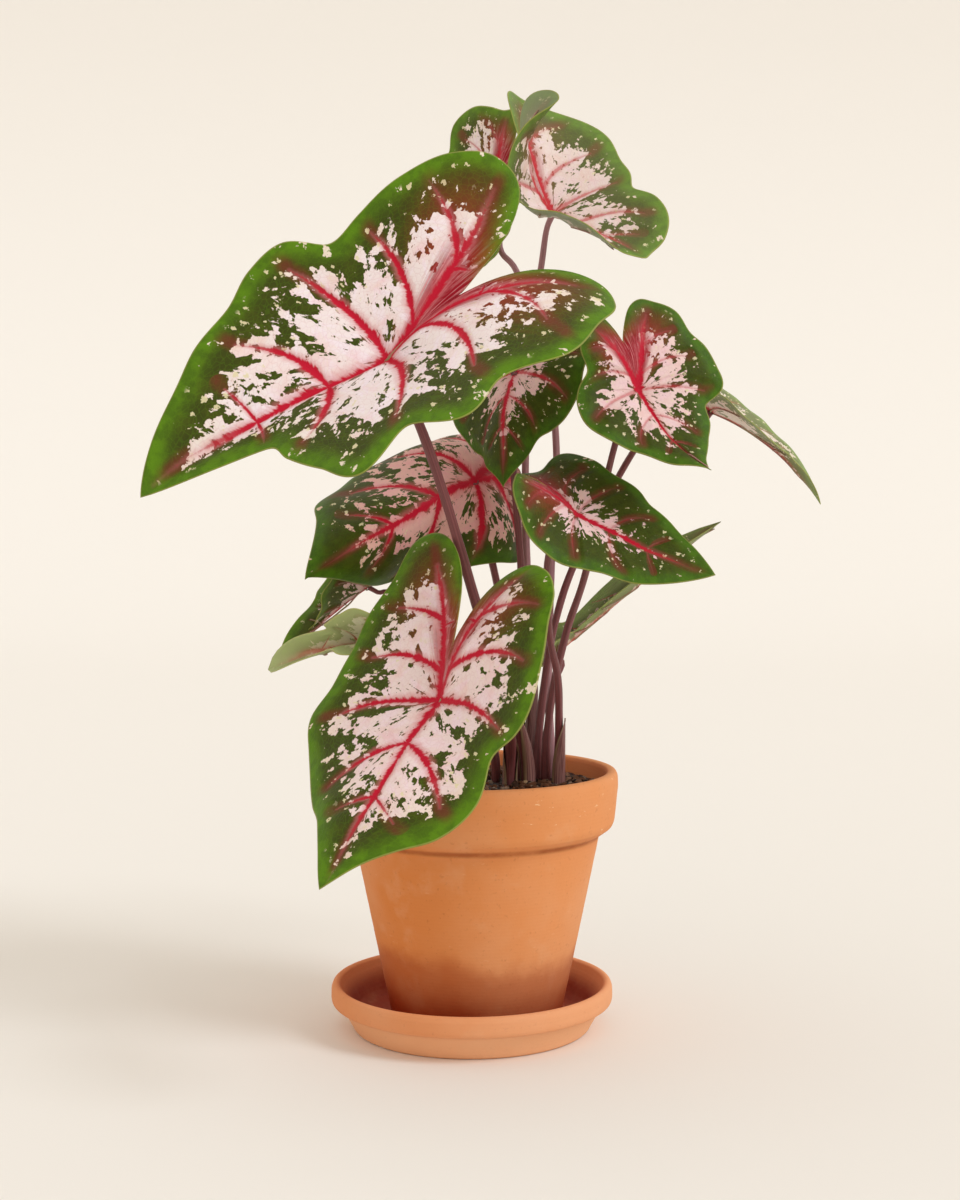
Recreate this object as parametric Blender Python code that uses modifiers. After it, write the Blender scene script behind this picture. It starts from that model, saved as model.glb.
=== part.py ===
"""Caladium in a terracotta pot with a saucer.

Metres, +Z up. The origin is the middle of the saucer's foot, -Y is the side that faces the viewer.
Lengths below are in millimetres and angles in degrees; both are turned into metres and radians
where the pieces are built.
"""
import math

import bmesh
import bpy
from mathutils import Vector

COLLECTION = "caladium_in_terracotta_pot"
CUTTER_COLLECTION = "cutters"
MM = 0.001
TURNED_STEPS = 40
CUTTER_SIDES = 12
GAP = 0.3

# Saucer profile (radius, height): inner floor, wall, rounded rim, band, body, foot.
SAUCER_FLOOR = 5.0
SAUCER_PROFILE = [
    (0.0, SAUCER_FLOOR), (57.0, SAUCER_FLOOR), (61.5, 6.2), (64.5, 9.0), (71.6, 22.0), (72.8, 24.9),
    (74.6, 25.8), (76.4, 25.0), (77.4, 22.6), (77.5, 17.5), (76.9, 15.2), (74.9, 13.6), (71.4, 9.4),
    (67.4, 4.8), (64.6, 0.8), (63.6, 0.0), (0.0, 0.0),
]

# The pot stands a little right of the saucer's middle, as in the photograph.
POT_X = 2.6
POT_FOOT = SAUCER_FLOOR + GAP
POT_FLOOR = POT_FOOT + 7.0
DRAIN_RADIUS = 10.0
POT_TOP = 143.0
POT_PROFILE = [
    (DRAIN_RADIUS, POT_FLOOR), (36.0, POT_FLOOR), (39.6, POT_FLOOR + 1.2), (41.2, POT_FLOOR + 4.5),
    (61.0, 107.0), (69.4, 114.5), (71.2, 140.6), (72.0, 142.4), (74.2, POT_TOP), (76.4, 142.3),
    (77.5, 140.0), (77.6, 134.0), (75.7, 115.6), (74.4, 112.6), (67.4, 107.5), (55.2, 48.0),
    (47.0, POT_FOOT + 3.0), (45.6, POT_FOOT + 0.4), (44.4, POT_FOOT), (DRAIN_RADIUS, POT_FOOT),
]

# Potting mix: a low mound that follows the pot's inside one gap away.
SOIL_SIDE_GAP = 0.35
SOIL_TOP = 134.2
SOIL_EDGE = 132.4
SOIL_PROFILE = [
    (0.0, SOIL_TOP), (30.0, SOIL_TOP - 0.2), (58.0, SOIL_TOP - 0.8), (69.2, SOIL_EDGE + 0.3),
    (70.25, SOIL_EDGE - 0.6), (69.05, 114.9), (60.6, 107.3), (40.8, POT_FLOOR + 4.6),
    (39.3, POT_FLOOR + 1.5), (35.9, POT_FLOOR + SOIL_SIDE_GAP), (0.0, POT_FLOOR + SOIL_SIDE_GAP),
]

# Buried tuber, flat on top where the stalks spring from it.
TUBER_X = 30.0
TUBER_Y = 13.0
TUBER_TOP = 112.0
TUBER_PROFILE = [
    (0.0, TUBER_TOP), (21.0, TUBER_TOP), (23.4, 109.0), (24.2, 103.5), (22.4, 97.5), (17.0, 92.6),
    (8.0, 90.2), (0.0, 89.6),
]
TUBER_CLEARANCE = 0.4

# Blade shape: reach from the junction to the margin along these rays, counted from the tip.
RAYS = (0, 8, 18, 30, 45, 60, 75, 90, 105, 120, 135, 148, 158, 166, 173, 180)
RINGS = (0.3, 0.55, 0.8, 1.0)
RIB_ANGLES = (-150, -95, -45, 0, 45, 95, 150)
BLADE_THICKNESS = 0.8

# One record a leaf. "at" is the junction where the ribs meet. "turn" is the heading of the tip seen
# from above, the rise of the tip and the roll about the midrib. "fold" raises the left and the right
# half about the midrib. "left" and "right" are the reaches along RAYS, "lift" and "curl" the starting
# slope and the further bend of the blade along RIB_ANGLES. "stalk" lists the points the stalk runs
# through above the soil, "foot" where it enters the soil, "radius" its lower and upper radius.
LEAVES = {
    1: {
        "at": (-42, -75, 361), "length": 167, "turn": (196, -22, -30), "fold": (19, 25),
        "left": (141, 106, 82, 85, 92, 105, 86, 106, 98, 117, 121, 126, 117, 95, 64, 45),
        "right": (141, 125, 108, 97, 86, 86, 84, 70, 80, 98, 115, 121, 112, 90, 63, 45),
        "lift": (32, 0, -3, -2, 3, 10, 26), "curl": (-87, -21, -41, -16, 2, 17, -24),
        "foot": (31, 4), "radius": (3.0, 2.4),
        "stalk": ((15, -36, 195), (2, -50, 239), (-13, -63, 291), (-27, -71, 331)),
    },
    2: {
        "at": (-15, -118, 194), "length": 127, "turn": (228, -56, 7), "fold": (6, 7),
        "left": (112, 98, 88, 83, 74, 60, 65, 68, 69, 74, 82, 84, 78, 62, 40, 28),
        "right": (112, 96, 84, 80, 76, 76, 77, 70, 71, 79, 88, 104, 97, 73, 45, 28),
        "lift": (25, 2, 1, 13, 11, 4, 3), "curl": (-71, -19, -29, -6, -19, 0, 1),
        "foot": (21, -1), "radius": (3.0, 2.2),
        "stalk": ((20, -36, 174), (7, -84, 190)),
    },
    3: {
        "at": (2, 5, 301), "length": 128, "turn": (216, -22, -58), "fold": (-40, 1),
        "left": (114, 100, 88, 79, 66, 57, 49, 50, 59, 72, 88, 86, 86, 76, 56, 41),
        "right": (114, 101, 92, 91, 81, 79, 80, 71, 82, 90, 96, 101, 97, 80, 57, 41),
        "lift": (-3, 16, -1, 8, -13, -7, -5), "curl": (-92, -65, -74, -46, -75, -142, -104),
        "foot": (28, 20), "radius": (2.6, 1.9),
        "stalk": ((25, 24, 178), (16, 26, 234), (7, 24, 273)),
    },
    4: {
        "at": (55, -50, 283), "length": 75, "turn": (0, -37, 39), "fold": (1, 1),
        "left": (78, 68, 58, 51, 44, 43, 41, 40, 45, 51, 43, 43, 43, 38, 29, 22),
        "right": (78, 68, 58, 49, 41, 38, 39, 39, 42, 45, 48, 46, 42, 36, 28, 22),
        "lift": (1, 1, 10, 9, 8, 0, 22), "curl": (-78, 14, 12, 16, -20, -10, -23),
        "foot": (48, 6), "radius": (2.4, 1.7),
        "stalk": ((47, -11, 190), (42, -19, 217), (40, -30, 253), (44, -40, 271)),
    },
    5: {
        "at": (88, -31, 348), "length": 79, "turn": (-25, -69, 36), "fold": (16, 11),
        "left": (68, 59, 52, 46, 42, 37, 46, 46, 46, 46, 52, 53, 52, 46, 36, 27),
        "right": (68, 60, 54, 47, 44, 44, 43, 40, 36, 33, 42, 44, 48, 45, 36, 27),
        "lift": (7, 2, 7, 14, 10, -4, 10), "curl": (-38, -7, 0, 42, -3, -28, -25),
        "foot": (41, 12), "radius": (2.4, 1.7),
        "stalk": ((44, 8, 180), (52, 2, 218), (62, -6, 251), (73, -15, 304), (79, -20, 328)),
    },
    6: {
        "at": (23, -5, 359), "length": 78, "turn": (-113, -44, 4), "fold": (-10, -9),
        "left": (67, 59, 51, 42, 40, 40, 40, 40, 43, 45, 47, 44, 46, 43, 32, 24),
        "right": (67, 60, 55, 50, 49, 48, 48, 48, 49, 52, 57, 58, 56, 47, 34, 24),
        "lift": (13, 8, -13, -4, -15, -4, 12), "curl": (-12, 1, -50, -56, -52, -18, -17),
        "foot": (23, 13), "radius": (2.2, 1.7),
        "stalk": ((27, 12, 179), (27, 8, 254), (23, 4, 307)),
    },
    7: {
        "at": (44, 2, 445), "length": 104, "turn": (-24, -41, 31), "fold": (10, -7),
        "left": (64, 63, 65, 64, 57, 46, 49, 52, 60, 66, 69, 74, 76, 67, 50, 37),
        "right": (64, 61, 61, 58, 54, 51, 50, 49, 52, 64, 75, 83, 82, 70, 51, 37),
        "lift": (15, 11, 18, 22, 31, 25, 33), "curl": (-16, 9, 19, -17, 48, 54, 109),
        "foot": (32, 28), "radius": (2.4, 1.6),
        "stalk": ((34, 28, 177), (31, 26, 254), (30, 26, 307), (32, 24, 379), (38, 12, 417)),
    },
    8: {
        "at": (11, 60, 464), "length": 77, "turn": (110, -37, -109), "fold": (22, 21),
        "left": (84, 71, 58, 49, 42, 40, 39, 38, 41, 45, 49, 48, 48, 42, 31, 23),
        "right": (84, 72, 61, 53, 48, 43, 39, 38, 48, 52, 50, 48, 49, 43, 31, 23),
        "lift": (0, 3, 6, 9, 16, -10, -13), "curl": (-12, -11, -8, 5, 18, -14, -46),
        "foot": (45, 21), "radius": (2.4, 1.6),
        "stalk": (
            (43, 26, 189), (45, 32, 257), (48, 40, 314), (42, 48, 375), (26, 53, 419), (16, 56, 434),
        ),
    },
    9: {
        "at": (137, 54, 341), "length": 100, "turn": (-2, -33, 6), "fold": (31, 25),
        "left": (84, 71, 59, 53, 49, 48, 47, 48, 51, 55, 59, 60, 57, 47, 32, 23),
        "right": (84, 70, 59, 57, 58, 51, 50, 49, 50, 54, 59, 60, 57, 47, 32, 23),
        "lift": (3, -9, -9, 10, -10, -8, -3), "curl": (-13, -19, -7, -41, -12, -18, -28),
        "foot": (36, 17), "radius": (2.4, 1.6),
        "stalk": (
            (41, 19, 190), (47, 22, 223), (58, 28, 255), (83, 40, 303), (101, 47, 329), (119, 51, 337),
        ),
    },
    10: {
        "at": (-58, 17, 242), "length": 60, "turn": (192, -61, 6), "fold": (49, 49),
        "left": (62, 49, 39, 35, 33, 34, 30, 28, 28, 28, 26, 21, 22, 20, 14, 10),
        "right": (62, 54, 45, 37, 31, 30, 28, 29, 29, 29, 28, 24, 24, 21, 15, 10),
        "lift": (-7, -3, 0, 21, 6, -2, -4), "curl": (-35, -7, -4, 4, 41, -8, -29),
        "foot": (14, 17), "radius": (1.9, 1.2),
        "stalk": ((5, 18, 179), (-19, 18, 218), (-43, 17, 238)),
    },
    11: {
        "at": (-40, -33, 216), "length": 91, "turn": (159, -6, -61), "fold": (53, 85),
        "left": (92, 64, 40, 38, 37, 38, 32, 32, 32, 32, 32, 28, 28, 25, 18, 13),
        "right": (92, 65, 41, 39, 37, 37, 36, 28, 28, 31, 34, 35, 33, 27, 18, 13),
        "lift": (-8, -5, 3, 0, 0, 4, 19), "curl": (-32, -7, 11, -29, -3, -9, 12),
        "foot": (13, 8), "radius": (1.9, 1.3),
        "stalk": ((6, -2, 173), (-14, -20, 199)),
    },
    12: {
        "at": (48, 45, 202), "length": 124, "turn": (10, 40, 25), "fold": (55, 55),
        "left": (124, 78, 34, 21, 18, 17, 16, 16, 13, 13, 13, 13, 12, 12, 11, 10),
        "right": (124, 78, 34, 21, 18, 17, 16, 16, 13, 13, 13, 13, 12, 12, 11, 10),
        "lift": (0, 0, 0, 0, 0, 0, 0), "curl": (0, 0, 0, -6, 0, 0, 0),
        "foot": (39, 27), "radius": (2.2, 1.8),
        "stalk": ((44, 34, 168), (47, 43, 186)),
    },
}

STALK_SAMPLES = 2
STALK_STRAIGHT_TOP = 136.0
STALK_FOOT_GAP = 0.3
JUNCTION_GAP = 0.35
JUNCTION_RUN = 5.0
HOLE_CLEARANCE = 0.35

COLOURS = {
    "terracotta": ((0.66, 0.30, 0.13), 0.85),
    "soil": ((0.03, 0.022, 0.016), 0.95),
    "tuber": ((0.20, 0.12, 0.07), 0.85),
    "blade": ((0.08, 0.17, 0.03), 0.45),
    "stalk": ((0.17, 0.07, 0.08), 0.5),
}


def clear_scene():
    for item in list(bpy.data.objects):
        bpy.data.objects.remove(item, do_unlink=True)
    for group in list(bpy.data.collections):
        bpy.data.collections.remove(group)


def new_collection(name):
    group = bpy.data.collections.new(name)
    bpy.context.scene.collection.children.link(group)
    return group


def paint(item, kind):
    """Give the piece its own material."""
    colour, roughness = COLOURS[kind]
    material = bpy.data.materials.new(item.name + "_material")
    material.use_nodes = True
    shader = material.node_tree.nodes["Principled BSDF"]
    shader.inputs["Base Color"].default_value = (*colour, 1.0)
    shader.inputs["Roughness"].default_value = roughness
    shader.inputs["Metallic"].default_value = 0.0
    material.diffuse_color = (*colour, 1.0)
    item.data.materials.clear()
    item.data.materials.append(material)


def turned(name, profile, centre, group, closed=False, steps=TURNED_STEPS):
    """Turn a profile of (radius, height) about the vertical axis through the centre."""
    mesh = bpy.data.meshes.new(name)
    points = [(radius * MM, 0.0, height * MM) for radius, height in profile]
    edges = [(i, i + 1) for i in range(len(points) - 1)]
    if closed:
        edges.append((len(points) - 1, 0))
    mesh.from_pydata(points, edges, [])
    item = bpy.data.objects.new(name, mesh)
    group.objects.link(item)
    item.location = (centre[0] * MM, centre[1] * MM, 0.0)
    screw = item.modifiers.new("turn", "SCREW")
    screw.axis = "Z"
    screw.angle = math.tau
    screw.steps = steps
    screw.render_steps = steps
    screw.use_merge_vertices = True
    screw.merge_threshold = 0.00001
    screw.use_smooth_shade = False
    screw.use_normal_calculate = True
    return item


def round_the_blade(angle, values):
    """Smooth value at an angle round the blade, from one value a rib."""
    knots = list(RIB_ANGLES) + [RIB_ANGLES[0] + 360]
    heights = list(values) + [values[0]]
    angle = (angle - knots[0]) % 360.0 + knots[0]
    count = len(RIB_ANGLES)
    gaps = [knots[i + 1] - knots[i] for i in range(count)]
    slopes = [(heights[i + 1] - heights[i]) / gaps[i] for i in range(count)]
    tangents = []
    for i in range(count):
        before, after = gaps[i - 1], gaps[i]
        tangents.append((before * slopes[i] + after * slopes[i - 1]) / (before + after))
    tangents.append(tangents[0])
    i = 0
    while i < count - 1 and angle >= knots[i + 1]:
        i += 1
    u = (angle - knots[i]) / gaps[i]
    start = (2 * u ** 3 - 3 * u ** 2 + 1) * heights[i]
    start += (u ** 3 - 2 * u ** 2 + u) * gaps[i] * tangents[i]
    end = (-2 * u ** 3 + 3 * u ** 2) * heights[i + 1]
    end += (u ** 3 - u ** 2) * gaps[i] * tangents[i + 1]
    return start + end


def leaf_axes(turn):
    """Across, along and upper-face directions of a leaf."""
    heading, rise, roll = (math.radians(value) for value in turn)
    along = Vector((
        math.cos(heading) * math.cos(rise), math.sin(heading) * math.cos(rise), math.sin(rise),
    ))
    side = Vector((math.sin(heading), -math.cos(heading), 0.0))
    up = side.cross(along)
    across = side * math.cos(roll) - up * math.sin(roll)
    return across, along, across.cross(along)


def ray_frame(leaf, angle):
    """Direction of a ray in the folded blade and the face normal that goes with it."""
    across, along, face = leaf_axes(leaf["turn"])
    fold_left, fold_right = (math.radians(value) for value in leaf["fold"])
    turn = math.radians(angle)
    if math.sin(turn) >= 0.0:
        half = across * math.cos(fold_right) + face * math.sin(fold_right)
        half_face = face * math.cos(fold_right) - across * math.sin(fold_right)
    else:
        half = across * math.cos(fold_left) - face * math.sin(fold_left)
        half_face = face * math.cos(fold_left) + across * math.sin(fold_left)
    ray = half * math.sin(turn) + along * math.cos(turn)
    share = math.sqrt(abs(math.sin(turn)))
    normal = half_face * share + face * (1.0 - share)
    normal = normal - ray * normal.dot(ray)
    return ray, normal.normalized()


def blade_point(leaf, angle, distance):
    """Point of the blade's middle surface at a distance from the junction along a ray."""
    ray, normal = ray_frame(leaf, angle)
    lift = math.radians(round_the_blade(angle, leaf["lift"]))
    bend = math.radians(round_the_blade(angle, leaf["curl"])) / leaf["length"]
    if abs(bend * distance) < 0.0001:
        flat = distance * math.cos(lift)
        rise = distance * math.sin(lift)
    else:
        flat = (math.sin(lift + bend * distance) - math.sin(lift)) / bend
        rise = (math.cos(lift) - math.cos(lift + bend * distance)) / bend
    return Vector(leaf["at"]) + ray * flat + normal * rise


def blade_rays(leaf):
    """Every ray once, counter-clockwise seen from the upper face: (angle, reach)."""
    right = [(angle, reach) for angle, reach in zip(RAYS, leaf["right"])]
    left = [(-angle, reach) for angle, reach in zip(RAYS[1:-1], leaf["left"][1:-1])]
    return right[::-1] + left


def make_blade(number, leaf, group):
    """Thin solid blade: rings of points about the junction, cut into triangles, then thickened."""
    name = "leaf_%02d_blade" % number
    shape = bmesh.new()
    hub = shape.verts.new(Vector(leaf["at"]) * MM)
    rays = blade_rays(leaf)
    rings = []
    for share in RINGS:
        ring = [shape.verts.new(blade_point(leaf, angle, reach * share) * MM) for angle, reach in rays]
        rings.append(ring)
    count = len(rays)
    for i in range(count):
        j = (i + 1) % count
        shape.faces.new((hub, rings[0][i], rings[0][j]))
        for inner, outer in zip(rings, rings[1:]):
            shape.faces.new((inner[i], outer[i], outer[j]))
            shape.faces.new((inner[i], outer[j], inner[j]))
    mesh = bpy.data.meshes.new(name)
    shape.to_mesh(mesh)
    shape.free()
    item = bpy.data.objects.new(name, mesh)
    group.objects.link(item)
    shell = item.modifiers.new("thickness", "SOLIDIFY")
    shell.thickness = BLADE_THICKNESS * MM
    shell.offset = 0.0
    shell.use_even_offset = False
    paint(item, "blade")
    return item


def junction_drop(leaf):
    """How far under the junction a stalk's flat end must stay to clear the drooping blade."""
    _, _, face = leaf_axes(leaf["turn"])
    steepest = 0.0
    for angle, reach in blade_rays(leaf):
        offset = blade_point(leaf, angle, reach * 0.04) - Vector(leaf["at"])
        depth = -offset.dot(face)
        run = (offset + face * depth).length
        steepest = max(steepest, depth / run)
    return BLADE_THICKNESS / 2 + JUNCTION_GAP + leaf["radius"][1] * steepest


def stalk_path(leaf):
    """Points up the middle of a stalk: straight through the soil, then a smooth run to the blade."""
    x, y = leaf["foot"]
    _, _, face = leaf_axes(leaf["turn"])
    drop = junction_drop(leaf)
    at = Vector(leaf["at"])
    knots = [Vector((x, y, STALK_STRAIGHT_TOP))]
    knots += [Vector(point) for point in leaf["stalk"]]
    knots += [at - face * (drop + JUNCTION_RUN), at - face * drop]
    tangents = [Vector((0.0, 0.0, (knots[1] - knots[0]).length))]
    for i in range(1, len(knots) - 1):
        tangents.append((knots[i + 1] - knots[i - 1]) * 0.5)
    tangents[-1] = face * (knots[-2] - knots[-3]).length * 0.8
    path = [Vector((x, y, TUBER_TOP + STALK_FOOT_GAP))]
    for i in range(len(knots) - 2):
        for step in range(STALK_SAMPLES):
            u = step / STALK_SAMPLES
            point = knots[i] * (2 * u ** 3 - 3 * u ** 2 + 1)
            point += tangents[i] * (u ** 3 - 2 * u ** 2 + u)
            point += knots[i + 1] * (-2 * u ** 3 + 3 * u ** 2)
            point += tangents[i + 1] * (u ** 3 - u ** 2)
            path.append(point)
    path += knots[-2:]
    return path


def make_stalk(number, leaf, group):
    """Tapered tube with closed flat ends."""
    name = "leaf_%02d_stalk" % number
    curve = bpy.data.curves.new(name, "CURVE")
    curve.dimensions = "3D"
    curve.bevel_depth = leaf["radius"][0] * MM
    curve.bevel_resolution = 2
    curve.use_fill_caps = True
    path = stalk_path(leaf)
    spline = curve.splines.new("POLY")
    spline.points.add(len(path) - 1)
    slimming = leaf["radius"][1] / leaf["radius"][0]
    for i, point in enumerate(path):
        spline.points[i].co = (*(point * MM), 1.0)
        spline.points[i].radius = 1.0 + (slimming - 1.0) * i / (len(path) - 1)
    item = bpy.data.objects.new(name, curve)
    group.objects.link(item)
    paint(item, "stalk")
    return item


def make_hole_cutter(number, leaf, group):
    """Plain round cutter for the stalk's way through the soil."""
    name = "cutter_stalk_%02d" % number
    radius = leaf["radius"][0] + HOLE_CLEARANCE
    shape = bmesh.new()
    bottom = TUBER_TOP - TUBER_CLEARANCE
    top = SOIL_TOP + 4.0
    bmesh.ops.create_cone(
        shape, cap_ends=True, cap_tris=False, segments=CUTTER_SIDES,
        radius1=radius * MM / math.cos(math.pi / CUTTER_SIDES),
        radius2=radius * MM / math.cos(math.pi / CUTTER_SIDES),
        depth=(top - bottom) * MM,
    )
    x, y = leaf["foot"]
    bmesh.ops.translate(shape, verts=shape.verts, vec=Vector((x, y, (top + bottom) / 2)) * MM)
    mesh = bpy.data.meshes.new(name)
    shape.to_mesh(mesh)
    shape.free()
    item = bpy.data.objects.new(name, mesh)
    group.objects.link(item)
    return item


def cut(item, tool):
    """Cut the tool out of the piece."""
    tool.hide_render = True
    tool.display_type = "WIRE"
    step = item.modifiers.new("cut_" + tool.name, "BOOLEAN")
    step.operation = "DIFFERENCE"
    step.solver = "EXACT"
    step.object = tool


def make_soil(parts, cutters):
    soil = turned("soil", SOIL_PROFILE, (POT_X, 0.0), parts)
    hollow_profile = [(radius, height) for radius, height in TUBER_PROFILE]
    hollow_profile = [
        (radius + TUBER_CLEARANCE if radius > 0.0 else 0.0, height) for radius, height in hollow_profile
    ]
    middle = (TUBER_PROFILE[0][1] + TUBER_PROFILE[-1][1]) / 2
    hollow_profile = [
        (radius, height + TUBER_CLEARANCE if height > middle else height - TUBER_CLEARANCE)
        for radius, height in hollow_profile
    ]
    hollow = turned("cutter_tuber", hollow_profile, (TUBER_X, TUBER_Y), cutters, steps=32)
    cut(soil, hollow)
    for number, leaf in LEAVES.items():
        cut(soil, make_hole_cutter(number, leaf, cutters))
    paint(soil, "soil")
    return soil


def build():
    clear_scene()
    parts = new_collection(COLLECTION)
    cutters = new_collection(CUTTER_COLLECTION)
    paint(turned("saucer", SAUCER_PROFILE, (0.0, 0.0), parts), "terracotta")
    paint(turned("pot", POT_PROFILE, (POT_X, 0.0), parts, closed=True), "terracotta")
    make_soil(parts, cutters)
    paint(turned("tuber", TUBER_PROFILE, (TUBER_X, TUBER_Y), parts, steps=32), "tuber")
    for number, leaf in LEAVES.items():
        make_blade(number, leaf, parts)
        make_stalk(number, leaf, parts)


build()
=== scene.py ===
"""Potted caladium: fine leaves with veins and pattern, stalks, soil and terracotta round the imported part."""
import math

import bmesh
import bpy
import numpy as np
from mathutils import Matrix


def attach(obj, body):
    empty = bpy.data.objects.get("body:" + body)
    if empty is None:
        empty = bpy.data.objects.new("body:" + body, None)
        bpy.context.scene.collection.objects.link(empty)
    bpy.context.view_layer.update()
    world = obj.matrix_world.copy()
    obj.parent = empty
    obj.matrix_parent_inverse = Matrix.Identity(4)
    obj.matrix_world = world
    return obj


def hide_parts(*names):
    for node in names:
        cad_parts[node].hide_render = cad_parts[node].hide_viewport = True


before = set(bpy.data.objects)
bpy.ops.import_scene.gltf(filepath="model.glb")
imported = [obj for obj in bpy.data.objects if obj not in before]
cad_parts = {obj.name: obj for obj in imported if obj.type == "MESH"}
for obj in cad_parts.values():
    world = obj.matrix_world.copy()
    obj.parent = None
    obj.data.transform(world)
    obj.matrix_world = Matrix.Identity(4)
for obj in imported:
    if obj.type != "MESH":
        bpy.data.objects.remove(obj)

bl_info = {
    "name": "Potted caladium",
    "version": (1, 0, 0),
    "blender": (4, 5, 0),
    "location": "3D View > Sidebar > Caladium",
    "description": "Builds a potted caladium with fine leaves, stalks, soil, pot and saucer",
    "category": "Add Mesh",
}

MM = 0.001
TAU = 2 * math.pi
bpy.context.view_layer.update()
# long side of the camera's sensor, in mm
SENSOR = 36.0

# in mm: how far right of the saucer the pot stands, and the height and the radius of the soil's top
POT_X = 2.6
SOIL_TOP = 134.2
SOIL_RADIUS = 69.6

# angles from the tip at which a leaf's reach is given, and angles of its lift and curl, in degrees
RAYS = np.array((0, 8, 18, 30, 45, 60, 75, 90, 105, 120, 135, 148, 158, 166, 173, 180), float)
RIBS = np.array((-150, -95, -45, 0, 45, 95, 150), float)

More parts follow.
